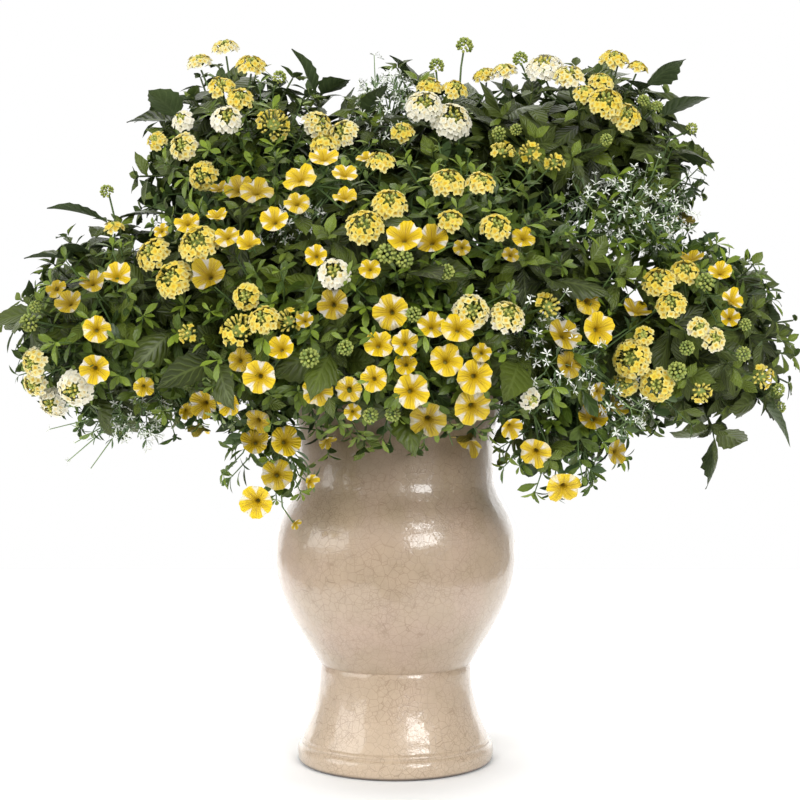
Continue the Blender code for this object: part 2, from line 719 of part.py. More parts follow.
def turned(name, profile, centre_bottom, centre_top):
    """A turned solid from an outline of (radius, height), closed at both ends, or left flat underneath."""
    surface = bmesh.new()
    rings = []
    for radius, height in profile:
        circle = []
        for index in range(SEGMENTS):
            angle = 2 * math.pi * (index + 0.5) / SEGMENTS
            circle.append(surface.verts.new((radius * math.cos(angle), radius * math.sin(angle), height)))
        rings.append(circle)
    for below, above in zip(rings, rings[1:]):
        for index in range(SEGMENTS):
            after = (index + 1) % SEGMENTS
            surface.faces.new((below[index], below[after], above[after], above[index]))
    if centre_bottom is None:
        surface.faces.new(list(reversed(rings[0])))
    else:
        point = surface.verts.new((0, 0, centre_bottom))
        for index in range(SEGMENTS):
            surface.faces.new((rings[0][(index + 1) % SEGMENTS], rings[0][index], point))
    point = surface.verts.new((0, 0, centre_top))
    for index in range(SEGMENTS):
        surface.faces.new((rings[-1][index], rings[-1][(index + 1) % SEGMENTS], point))
    return to_object(name, surface)


def to_object(name, surface):
    """A new object from a mesh being built."""
    mesh = bpy.data.meshes.new(name)
    surface.to_mesh(mesh)
    surface.free()
    made = bpy.data.objects.new(name, mesh)
    bpy.context.collection.objects.link(made)
    return made


def eased(start, end, steps):
    """Places between two levels of the outline, leaving both upright: a smooth swell or waist."""
    places = []
    for step in range(1, steps + 1):
        t = step / steps
        blend = (1 - math.cos(math.pi * t)) / 2
        places.append((start[0] + (end[0] - start[0]) * blend, start[1] + (end[1] - start[1]) * t))
    return places


def outer_profile():
    """The urn's outside from the foot to the lip: a banded foot, a waist, a groove, a belly and a neck."""
    profile = FOOT_EDGE[1:] + [FOOT_TOP]
    profile += [(WAIST[0] + (FOOT_TOP[0] - WAIST[0]) * (1 - t) ** 2,
                 FOOT_TOP[1] + (WAIST[1] - FOOT_TOP[1]) * t) for t in (0.45, 1.0)]
    profile += [GROOVE, BELLY_FOOT]
    profile += [(BELLY_FOOT[0] + (BELLY[0] - BELLY_FOOT[0]) * math.sin(t * math.pi / 2),
                 BELLY_FOOT[1] + (BELLY[1] - BELLY_FOOT[1]) * t) for t in (0.3, 0.62, 1.0)]
    profile += eased(BELLY, NECK, 3)
    profile += [NECK_TOP]
    profile += [(NECK_TOP[0] + (LIP[0] - NECK_TOP[0]) * t * t, NECK_TOP[1] + (LIP[1] - NECK_TOP[1]) * t)
                for t in (0.5, 0.85)]
    return profile


def outer_radius(height):
    """The urn's outer radius at a height."""
    profile = outer_profile() + [LIP]
    for (low_radius, low), (high_radius, high) in zip(profile, profile[1:]):
        if low <= height <= high:
            return low_radius + (high_radius - low_radius) * (height - low) / (high - low)
    return profile[-1][0]


def inner_profile(gap):
    """The urn's inside from the lip down to its floor, drawn in by a gap."""
    return [(outer_radius(height) - WALL - gap, height) for height in INNER_HEIGHTS]


def urn():
    """The glazed pot: one turned wall with a rolled lip and a thick flat foot."""
    lip = [(LIP[0] + LIP_ROLL * 0.4, LIP[1] - LIP_ROLL), (LIP[0], LIP[1] + LIP_ROLL),
           (LIP[0] - WALL * 0.8, LIP[1] + LIP_ROLL * 0.6), (LIP[0] - WALL, LIP[1] - LIP_ROLL)]
    return turned("urn", outer_profile() + lip + inner_profile(0.0), None, FLOOR_HEIGHT)


def soil(holes):
    """The soil that fills the urn, uneven on top, with a plain hole for each stem."""
    draw = random.Random(SEED)
    top_radius = outer_radius(SOIL_TOP) - WALL - GAP * 4
    profile = inner_profile(GAP)[::-1]
    profile += [(top_radius, SOIL_TOP), (top_radius * 0.6, SOIL_TOP + SOIL_DOME * 0.7)]
    ground = turned("soil", profile, FLOOR_HEIGHT + GAP, SOIL_TOP + SOIL_DOME)
    for vert in ground.data.vertices:
        if vert.co.z >= SOIL_TOP - 0.001:
            vert.co.z += draw.uniform(-SOIL_LUMP, SOIL_LUMP)
    for hole in holes:
        surface = bmesh.new()
        bmesh.ops.create_cone(surface, cap_ends=True, segments=HOLE_SIDES, radius1=HOLE_WIDTH,
                              radius2=HOLE_WIDTH, depth=HOLE_DEPTH * 2)
        bmesh.ops.translate(surface, vec=(hole.x, hole.y, SOIL_TOP + SOIL_DOME), verts=surface.verts)
        cutter = to_object("hole", surface)
        cut(ground, cutter)
    return ground


def cut(body, cutter):
    """Take a cutter out of a body for good."""
    boolean = body.modifiers.new("cut", "BOOLEAN")
    boolean.operation = "DIFFERENCE"
    boolean.object = cutter
    settle(body)
    discard(cutter)


def settle(body):
    """Make what an object's modifiers give its own mesh."""
    evaluated = body.evaluated_get(bpy.context.evaluated_depsgraph_get())
    mesh = bpy.data.meshes.new_from_object(evaluated)
    body.modifiers.clear()
    before = body.data
    body.data = mesh
    bpy.data.meshes.remove(before)


def discard(thing):
    """Remove an object and its mesh."""
    mesh = thing.data
    bpy.data.objects.remove(thing)
    bpy.data.meshes.remove(mesh)


def plant_object(name, plant):
    """A plant's node as an object."""
    plant.close()
    mesh = bpy.data.meshes.new(name)
    mesh.from_pydata(plant.points, [], plant.faces)
    made = bpy.data.objects.new(name, mesh)
    bpy.context.collection.objects.link(made)
    return made


def finish(body, colour):
    """Give an object its material, and smooth shading where it is round."""
    (red, green, blue), roughness = COLOURS[colour]
    material = bpy.data.materials.get(colour)
    if material is None:
        material = bpy.data.materials.new(colour)
        material.use_nodes = True
        shader = material.node_tree.nodes["Principled BSDF"]
        shader.inputs["Base Color"].default_value = (red, green, blue, 1.0)
        shader.inputs["Roughness"].default_value = roughness
        shader.inputs["Metallic"].default_value = 0.0
    body.data.materials.clear()
    body.data.materials.append(material)
    if colour in ("glaze", "soil"):
        body.data.shade_smooth()
        body.data.set_sharp_from_angle(angle=math.radians(35))


def hole_places():
    """Where each stand's stem leaves the soil: as near below its bush as room allows."""
    places = {}
    for name, (_, centre) in sorted(STANDS.items(), key=lambda item: -Vector(item[1][1]).xy.length):
        wish = Vector((centre[0], centre[1]))
        if wish.length > HOLE_RING:
            wish = wish.normalized() * HOLE_RING
        places[name] = next(place for place in round_about(wish) if place.length <= HOLE_RING + GAP and all(
            (place - other).length >= HOLE_SPACING for other in places.values()))
    return {name: Vector((place.x, place.y, SOIL_TOP)) for name, place in places.items()}


def round_about(wish):
    """Places on growing rings round a wished place on the soil."""
    for step in range(HOLE_SEARCH_RINGS):
        for turn in range(HOLE_SEARCH_TURNS):
            angle = 2 * math.pi * turn / HOLE_SEARCH_TURNS
            yield wish + Vector((math.cos(angle), math.sin(angle))) * step * HOLE_SEARCH_STEP


def stem_route(hole, hub, draw, swing):
    """A stem's way from the bottom of its bush, over the lip and down into its hole."""
    foot = hole + Vector((0, 0, SOIL_DOME - HOLE_DEPTH + STEM_FOOT_GAP))
    outward = Vector((hub.centre.x - hole.x, hub.centre.y - hole.y, 0.0))
    sway = Vector((draw.uniform(-1, 1), draw.uniform(-1, 1), draw.uniform(-0.3, 0.6))) * swing
    leave = foot + Vector((0, 0, STEM_RISE)) + outward * STEM_LEAN
    arrive = hub.centre - outward * STEM_ARRIVAL - Vector((0, 0, STEM_DROP)) + sway
    root = (arrive - hub.centre).normalized()
    ground = foot + Vector((0, 0, STEM_COLLAR))
    way = bezier(hub.centre + root * hub.radius * 1.2, arrive, leave, ground, STEM_STEPS)
    return root, way + [foot]


def grow_stand(planting, name, hole):
    """The dense middle of a bush, on its stem."""
    kind, centre = STANDS[name]
    node = f"{kind}_{name}"
    stem_radius = STEM_RADIUS[kind]
    draw = random.Random(f"{SEED} {name}")
    hub = planting.hub(node, Vector(centre), MIDDLE_RADIUS[kind])
    for attempt in range(TRIES):
        root, way = stem_route(hole, hub, draw, SWAY * attempt / TRIES)
        stem = tube(hub.ring(root, stem_radius, root.orthogonal()), way, stem_radius * 0.9)
        if planting.is_free(node, stem):
            planting.grow(node, hub, stem, root, stem_radius)
            return hub
    raise RuntimeError(f"no room for the stem of {node}")


def flower_roots(hub, flowers):
    """The direction in which each flower's stalk leaves its knot: toward the flower, kept apart."""
    roots = [(place - hub.centre).normalized() for place, *_ in flowers]
    least = 2 * math.asin(STALK_RADIUS / hub.radius) + 2 * ROOT_MARGIN
    for _ in range(APART_ROUNDS):
        for one in range(len(roots)):
            for two in range(one + 1, len(roots)):
                lack = least - roots[one].angle(roots[two])
                if lack > 0:
                    apart = (roots[one] - roots[two]).normalized() * lack * APART_SHARE
                    roots[one] = (roots[one] + apart).normalized()
                    roots[two] = (roots[two] - apart).normalized()
    return roots


def grow_truss(planting, node, bush, flowers, grower):
    """Flowers whose stalks spread from one knot, at the end of a branch of a bush."""
    draw = random.Random(f"{SEED} {node}")
    bush_node, bush_hub = bush
    middle = sum((place for place, *_ in flowers), Vector()) / len(flowers)
    best = None
    for attempt in range(TRIES):
        sway = Vector([draw.uniform(-1, 1) for _ in range(3)]) * SWAY * attempt / TRIES
        share = draw.uniform(*KNOT_SHARE)
        way = middle + sway - bush_hub.centre
        root = way.normalized()
        point = bush_hub.centre + root * max(way.length * share, bush_hub.radius + KNOT_STANDOFF)
        end = point - root * (KNOT_RADIUS * BALL_ALLOWANCE + CLEARANCE)
        start = bush_hub.ring(root, BRANCH_RADIUS, root.orthogonal())
        branch = tube(start, [end], BRANCH_RADIUS * 0.7)
        knot_ball = core(point, KNOT_RADIUS)
        if not (bush_hub.has_room(root, BRANCH_RADIUS) and planting.is_free(node, knot_ball, 0.0)
                and planting.is_free(bush_node, branch)):
            continue
        hub = Hub(Plant(), point, KNOT_RADIUS)
        grown = grow_flowers(planting, node, hub, flowers, grower, branch, draw)
        if best is None or len(grown) > len(best[1]):
            best = (hub, grown, branch, root)
        if len(grown) == len(flowers):
            break
    if best is None:
        raise RuntimeError(f"no room for {node}")
    hub, grown, branch, root = best
    planting.grow(bush_node, bush_hub, branch, root, BRANCH_RADIUS)
    hub = planting.hub(node, hub.centre, hub.radius)
    for limb, direction in grown:
        planting.grow(node, hub, limb, direction, STALK_RADIUS)


def grow_flowers(planting, node, hub, flowers, grower, branch, draw):
    """As many of a truss's flowers as find room, nudged where they must be."""
    grown = []
    trees = [BVHTree.FromPolygons(branch.points, branch.faces)]
    for (place, facing, radius, stage), root in zip(flowers, flower_roots(hub, flowers)):
        for nudge in range(NUDGES):
            shift = Vector([draw.uniform(-1, 1) for _ in range(3)]) * NUDGE * nudge / NUDGES
            limb = grower(hub, root, place + shift, facing, radius, stage)
            padded = limb.padded(CLEARANCE)
            tree = BVHTree.FromPolygons(padded.points, padded.faces)
            if any(tree.overlap(other) for other in trees) or not planting.is_free(node, limb):
                continue
            grown.append((limb, root))
            trees.append(BVHTree.FromPolygons(limb.points, limb.faces))
            break
    return grown


def facing_of(place, normal):
    """The way a flower looks: out of the mound, a little up and a little toward the front."""
    to_eye = (eye() - place).normalized()
    front = FRONT_PULL if place.y < 0.05 else 0.0
    return (normal * 0.8 + Vector((0, 0, 1)) * UP_PULL + to_eye * front).normalized()


def table_heads(stages):
    """A truss's heads out of the table, on the mounds."""
    heads = []
    for stage, spots in stages.items():
        for x, z, radius in spots:
            place, normal = on_mounds(x, z)
            heads.append((place, facing_of(place, normal), radius, stage))
    return heads


def back_flowers(stand, count, radius):
    """Flowers spread over the outer side of a bush at the back."""
    centre = Vector(STANDS[stand][1])
    outward = Vector((centre.x * 0.6, centre.y, 0.04))
    flowers = []
    for direction in spread(count, outward, BACK_WIDTH):
        place, normal = outward_from(centre, direction)
        flowers.append((place, facing_of(place, normal), radius, "open"))
    return flowers


def back_lean(centre):
    """The way in which a bush's leafy shoots over the back spread."""
    sideways, back, rise = BACK_TIPS_LEAN
    return Vector((math.copysign(sideways, centre[0]), back, rise))


def grow_tip(planting, bush, kind, place, normal, label):
    """A shoot that reaches to a place on the mounds, with a leaf at its end and a pair beside it."""
    node, hub = bush
    length = LEAF_LENGTH[kind]
    draw = random.Random(f"{SEED} {node} {label}")
    for attempt in range(NUDGES * 2):
        shift = Vector([draw.uniform(-1, 1) for _ in range(3)]) * NUDGE * attempt / NUDGES
        way = (place + shift - hub.centre).normalized()
        end = place + shift - way * length * 0.55
        joint = Hub(Plant(), end, JOINT_RADIUS)
        side, up = across(way, Vector((0, 0, 1)))
        arrive = joint.ring(-way, LEAF_STALK, side)
        shoot = loft([hub.ring(way, BRANCH_RADIUS, side), [arrive[0], arrive[2], arrive[1]]])
        if not hub.has_room(way, BRANCH_RADIUS) or not planting.is_free(node, shoot):
            continue
        blades = []
        top = normal * 0.8 + Vector((0.0, 0.0, 0.5))
        for out in (way, (side + way * 0.45).normalized(), (way * 0.45 - side).normalized()):
            blade = leaf(joint, out, out, top, length * draw.uniform(0.85, 1.05), kind)
            if planting.is_free(node, blade):
                blades.append((blade, out))
        if len(blades) < 2:
            continue
        hub.take(way, BRANCH_RADIUS)
        root, end_ring = hub.plant.add(shoot, open_end=True)
        hub.rings.append(root)
        planting.keep_room(node, shoot)
        joint = planting.hub(node, end, JOINT_RADIUS)
        joint.rings.append(end_ring)
        for blade, out in blades:
            planting.grow(node, joint, blade, out, LEAF_STALK)
        return


def stands_out(limb, hub):
    """Tell whether all of a limb but its root keeps outside its hub."""
    return all((point - hub.centre).length > hub.radius * 1.04 for point in limb.points[STALK_SIDES:])


def grow_leaves(planting, bush, kind):
    """Leaves that stand out all round the dense middle of a bush."""
    node, hub = bush
    length = LEAF_LENGTH[kind]
    left = LEAF_COUNT[kind]
    draw = random.Random(f"{SEED} {node} leaves")
    outward = (hub.centre - Vector(LEAF_FOCUS)).normalized()
    directions = spread(left * 8, outward, LEAF_WIDTH)
    draw.shuffle(directions)
    for margin, direction in [(margin, direction) for margin in LEAF_SPACINGS for direction in directions]:
        jitter = Vector([draw.uniform(-1, 1) for _ in range(3)]) * 0.1
        way = (direction + jitter).normalized()
        if not hub.has_room(way, LEAF_STALK, margin):
            continue
        away = Vector((hub.centre.x, hub.centre.y, 0.0)).normalized()
        hang = Vector((0.0, 0.0, -0.6)) + away * 0.5 + jitter
        lie = (way * LEAF_RISE + (hang - way * hang.dot(way)).normalized()).normalized()
        blade = leaf(hub, way, lie, way, length * draw.uniform(0.85, 1.1), kind)
        if not (stands_out(blade, hub) and planting.is_free(node, blade)):
            continue
        planting.grow(node, hub, blade, way, LEAF_STALK)
        left -= 1
        if left == 0:
            return


def bract_twig(hub, direction, reach):
    """A thin twig that ends in a star of narrow white bracts."""
    side = direction.orthogonal().normalized()
    up = direction.cross(side)
    end = hub.centre + direction * reach
    rim = []
    for index in range(6):
        angle = math.pi * index / 3
        spoke = side * math.cos(angle) + up * math.sin(angle)
        rim.append(end + spoke * BRACT_REACH * BRACT_SHAPE[index % 2])
    neck = ring(end - direction * 0.002, side, up, TWIG_END_RADIUS, STALK_SIDES)
    return loft([hub.ring(direction, TWIG_RADIUS, side), neck, rim, [end + direction * 0.0016]])


def grow_twigs(planting, bush):
    """Thin white-tipped twigs all round a euphorbia's middle."""
    node, hub = bush
    left = TWIG_COUNT
    draw = random.Random(f"{SEED} {node} twigs")
    outward = hub.centre - Vector(TWIG_FOCUS)
    for direction in spread(left * 6, outward, LEAF_WIDTH):
        way = (direction + Vector([draw.uniform(-1, 1) for _ in range(3)]) * 0.15).normalized()
        twig = bract_twig(hub, way, EUPHORBIA_REACH * draw.uniform(0.6, 1.2))
        if hub.has_room(way, TWIG_RADIUS) and planting.is_free(node, twig):
            planting.grow(node, hub, twig, way, TWIG_RADIUS)
            left -= 1
        if left == 0:
            return


def colour_of(node):
    """The colour that a node's name asks for."""
    if "heads" in node:
        return "lantana_flower"
    if "blooms" in node:
        return "calibrachoa_flower"
    return "euphorbia" if node.startswith("euphorbia") else node.split("_")[0] + "_leaf"


def main():
    """Build the urn, the soil and every plant."""
    for thing in list(bpy.data.objects):
        bpy.data.objects.remove(thing)
    holes = hole_places()
    pot = urn()
    ground = soil(holes.values())
    finish(pot, "glaze")
    finish(ground, "soil")
    planting = Planting()
    for body in (pot, ground):
        mesh = body.data
        solid = Shape([vert.co for vert in mesh.vertices], [face.vertices for face in mesh.polygons])
        planting.keep_room(body.name, solid)
    bushes = {}
    for name, hole in holes.items():
        bushes[name] = (f"{STANDS[name][0]}_{name}", grow_stand(planting, name, hole))
    for name, (stand, stages) in LANTANA_HEADS.items():
        grow_truss(planting, f"lantana_heads_{name}", bushes[stand], table_heads(stages), lantana_head)
    for name, (stand, spots) in CALIBRACHOA_BLOOMS.items():
        grow_truss(planting, f"calibrachoa_blooms_{name}", bushes[stand], table_heads({"open": spots}),
                   calibrachoa_bloom)
    for stand, count in BACK_HEADS.items():
        grow_truss(planting, f"lantana_heads_{stand}", bushes[stand],
                   back_flowers(stand, count, BACK_HEAD_RADIUS), lantana_head)
    for stand, count in BACK_BLOOMS.items():
        grow_truss(planting, f"calibrachoa_blooms_{stand}", bushes[stand],
                   back_flowers(stand, count, BACK_BLOOM_RADIUS), calibrachoa_bloom)
    for stand, tips in LEAFY_TIPS.items():
        for x, z in tips:
            grow_tip(planting, bushes[stand], STANDS[stand][0], *on_mounds(x, z), f"{x} {z}")
    for stand, count in BACK_TIPS.items():
        kind, centre = STANDS[stand]
        for index, direction in enumerate(spread(count, back_lean(centre), BACK_TIPS_WIDTH)):
            place = outward_from(Vector(centre), direction)
            grow_tip(planting, bushes[stand], kind, *place, f"back {index}")
    for name, (kind, _) in STANDS.items():
        if kind == "euphorbia":
            grow_twigs(planting, bushes[name])
        else:
            grow_leaves(planting, bushes[name], kind)
    for node, plant in planting.plants.items():
        finish(plant_object(node, plant), colour_of(node))


main()
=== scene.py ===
"""The finished look of a summer planting in a crackle-glazed urn.

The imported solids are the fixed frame. Each flower head, bloom, leaf and twig is read off its solid, and a
finer piece stands in the same place: lantana heads of single florets, calibrachoa trumpets, toothed
leaves on their shoots, airy white euphorbia and a turned urn with a glossy, crackled glaze.
"""

from __future__ import annotations

import functools
import logging
import math
import random
from collections.abc import Iterable, Sequence
from dataclasses import dataclass, field
from enum import Enum

import bmesh
import bpy
import numpy as np
from mathutils import Matrix, Vector


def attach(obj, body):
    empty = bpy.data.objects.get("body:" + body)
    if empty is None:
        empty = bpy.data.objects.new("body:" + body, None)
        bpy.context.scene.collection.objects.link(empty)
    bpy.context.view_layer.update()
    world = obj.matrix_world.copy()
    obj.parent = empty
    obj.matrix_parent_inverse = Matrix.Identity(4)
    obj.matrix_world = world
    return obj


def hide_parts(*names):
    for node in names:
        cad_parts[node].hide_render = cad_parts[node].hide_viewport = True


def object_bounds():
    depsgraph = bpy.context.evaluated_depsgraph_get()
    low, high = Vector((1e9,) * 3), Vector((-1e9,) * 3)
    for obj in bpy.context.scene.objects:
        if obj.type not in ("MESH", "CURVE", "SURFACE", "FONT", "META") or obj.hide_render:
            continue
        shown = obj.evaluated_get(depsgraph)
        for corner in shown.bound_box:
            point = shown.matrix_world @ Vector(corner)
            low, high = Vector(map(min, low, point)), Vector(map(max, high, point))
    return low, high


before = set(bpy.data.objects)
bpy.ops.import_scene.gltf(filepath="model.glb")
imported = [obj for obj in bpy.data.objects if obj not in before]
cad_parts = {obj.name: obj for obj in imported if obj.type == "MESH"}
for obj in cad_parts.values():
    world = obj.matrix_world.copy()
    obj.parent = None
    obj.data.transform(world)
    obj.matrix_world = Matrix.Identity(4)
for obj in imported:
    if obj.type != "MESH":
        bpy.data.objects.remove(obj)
CAD_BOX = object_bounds()

log = logging.getLogger("planting")

Triple = tuple[float, float, float]
Material = bpy.types.Material
Piece = bpy.types.Object
Tree = bpy.types.NodeTree
Node = bpy.types.Node
Palette = dict[str, Material]
UP = Vector((0.0, 0.0, 1.0))
GOLDEN_ANGLE = math.pi * (3 - math.sqrt(5))

# The photograph's viewpoint, and the field it takes in.
EYE = Vector((0.0045, -1.467, 0.357))
FIELD_OF_VIEW = math.radians(30.5)


class Kind(Enum):
    """The plants in the urn."""

    LANTANA = "lantana"
    CALIBRACHOA = "calibrachoa"
    EUPHORBIA = "euphorbia"


class Stage(Enum):
    """How far a lantana head has opened."""

    BUD = "bud"
    TUBES = "tubes"
    YELLOW = "yellow"
    CREAM = "cream"
    WHITE = "white"


@dataclass(frozen=True)
class Mound:
    """One of the rounded masses that the leaves and flowers cover."""

    centre: Triple
    radii: Triple

    def scaled(self, point: Vector) -> Vector:
        """A point in the mound's own radii from its centre."""
        return Vector([(point[i] - self.centre[i]) / self.radii[i] for i in range(3)])

    def normal(self, point: Vector) -> Vector:
        """The direction straight out of the mound at a point."""
        return Vector([(point[i] - self.centre[i]) / self.radii[i] ** 2 for i in range(3)]).normalized()

    def exit(self, start: Vector, direction: Vector) -> float | None:
        """How far along a line it leaves the mound, or None where it misses the mound."""
        origin = self.scaled(start)
        step = Vector([direction[i] / self.radii[i] for i in range(3)])
        closest = -origin.dot(step) / step.dot(step)
        miss = (origin + step * closest).length
        if miss >= 1:
            return None
        return closest + math.sqrt((1 - miss * miss) / step.dot(step))


MOUNDS = (
    Mound((0.00, 0.00, 0.455), (0.290, 0.235, 0.165)),
    Mound((-0.150, 0.015, 0.590), (0.115, 0.135, 0.105)),
    Mound((0.170, 0.015, 0.590), (0.145, 0.140, 0.105)),
    Mound((0.020, 0.030, 0.575), (0.125, 0.150, 0.115)),
    Mound((-0.255, -0.010, 0.425), (0.125, 0.170, 0.105)),
    Mound((0.265, -0.010, 0.415), (0.130, 0.170, 0.105)),
    Mound((0.000, -0.130, 0.400), (0.200, 0.110, 0.085)),
    Mound((-0.115, -0.105, 0.310), (0.050, 0.050, 0.075)),
    Mound((0.150, -0.100, 0.320), (0.070, 0.060, 0.060)),
)


@dataclass(frozen=True)
class Stand:
    """One plant's bush: the node that it replaces and the point that its shoots spread from."""

    name: str
    kind: Kind
    centre: Triple

    @property
    def node(self) -> str:
        """The name of the bush's solid."""
        return f"{self.kind.value}_{self.name}"

    @property
    def heart(self) -> Vector:
        """The middle of the bush."""
        return Vector(self.centre)


STANDS = tuple(Stand(name, kind, centre) for kind, bushes in {
    Kind.LANTANA: {
        "upper_left": (-0.165, 0.015, 0.580),
        "upper_middle": (-0.050, 0.040, 0.565),
        "upper_centre": (0.065, 0.025, 0.590),
        "upper_right": (0.195, 0.020, 0.585),
        "left_wing": (-0.280, 0.000, 0.440),
        "left_front": (-0.165, -0.085, 0.465),
        "centre_front": (-0.015, -0.095, 0.455),
        "right_front": (0.130, -0.085, 0.455),
        "right_wing": (0.285, 0.000, 0.425),
        "back_left": (-0.165, 0.120, 0.470),
        "back_middle": (0.005, 0.150, 0.490),
        "back_right": (0.175, 0.125, 0.470),
    },
    Kind.CALIBRACHOA: {
        "upper_drift": (-0.115, -0.065, 0.540),
        "left_drift": (-0.235, -0.085, 0.395),
        "left_trail": (-0.105, -0.140, 0.385),
        "centre_drift": (0.015, -0.165, 0.395),
        "heart": (0.065, -0.120, 0.510),
        "right_drift": (0.165, -0.140, 0.375),
        "right_edge": (0.265, -0.040, 0.500),
        "back_left_drift": (-0.085, 0.165, 0.400),
        "back_right_drift": (0.105, 0.165, 0.400),
    },
    Kind.EUPHORBIA: {
        "top": (-0.005, -0.010, 0.630),
        "right": (0.215, -0.075, 0.530),
        "low_right": (0.115, -0.160, 0.425),
        "low_left": (-0.255, -0.070, 0.345),
    },
}.items() for name, centre in bushes.items())

# Where heads of each stage are, as they appear from the front on the upright plane through the urn's
# axis: (x, z). The heads not named here are yellow.
HEAD_STAGES = {
    Stage.WHITE: ((-0.164, 0.636), (0.025, 0.641), (0.056, 0.635), (0.149, 0.687), (-0.341, 0.355),
                  (-0.319, 0.369), (-0.061, 0.483), (-0.212, 0.636), (0.136, 0.358)),
    Stage.CREAM: ((-0.196, 0.693), (-0.176, 0.701), (-0.053, 0.625), (-0.078, 0.631), (0.109, 0.684),
                  (0.174, 0.679), (-0.359, 0.374), (-0.360, 0.395), (0.303, 0.429), (0.319, 0.417),
                  (-0.140, 0.450), (0.076, 0.445), (0.112, 0.439), (-0.211, 0.610)),
    Stage.TUBES: ((-0.122, 0.632), (0.107, 0.605), (0.135, 0.604), (0.159, 0.594), (0.306, 0.365),
                  (0.367, 0.380), (-0.207, 0.423), (-0.156, 0.426), (-0.111, 0.436), (0.153, 0.451)),
}
STAGE_REACH = 0.012
BACK_STAGES = (Stage.YELLOW, Stage.CREAM, Stage.YELLOW, Stage.WHITE, Stage.TUBES)


@dataclass(frozen=True)
class Flower:
    """A flower read off its solid: its rim's centre, its axis, a direction across it and its radius."""

    place: Vector
    facing: Vector
    side: Vector
    radius: float
    stage: Stage = Stage.YELLOW


@dataclass(frozen=True)
class Leaf:
    """A leaf read off its solid: the foot of its stalk, its axes and its length."""

    foot: Vector
    along: Vector
    top: Vector
    length: float


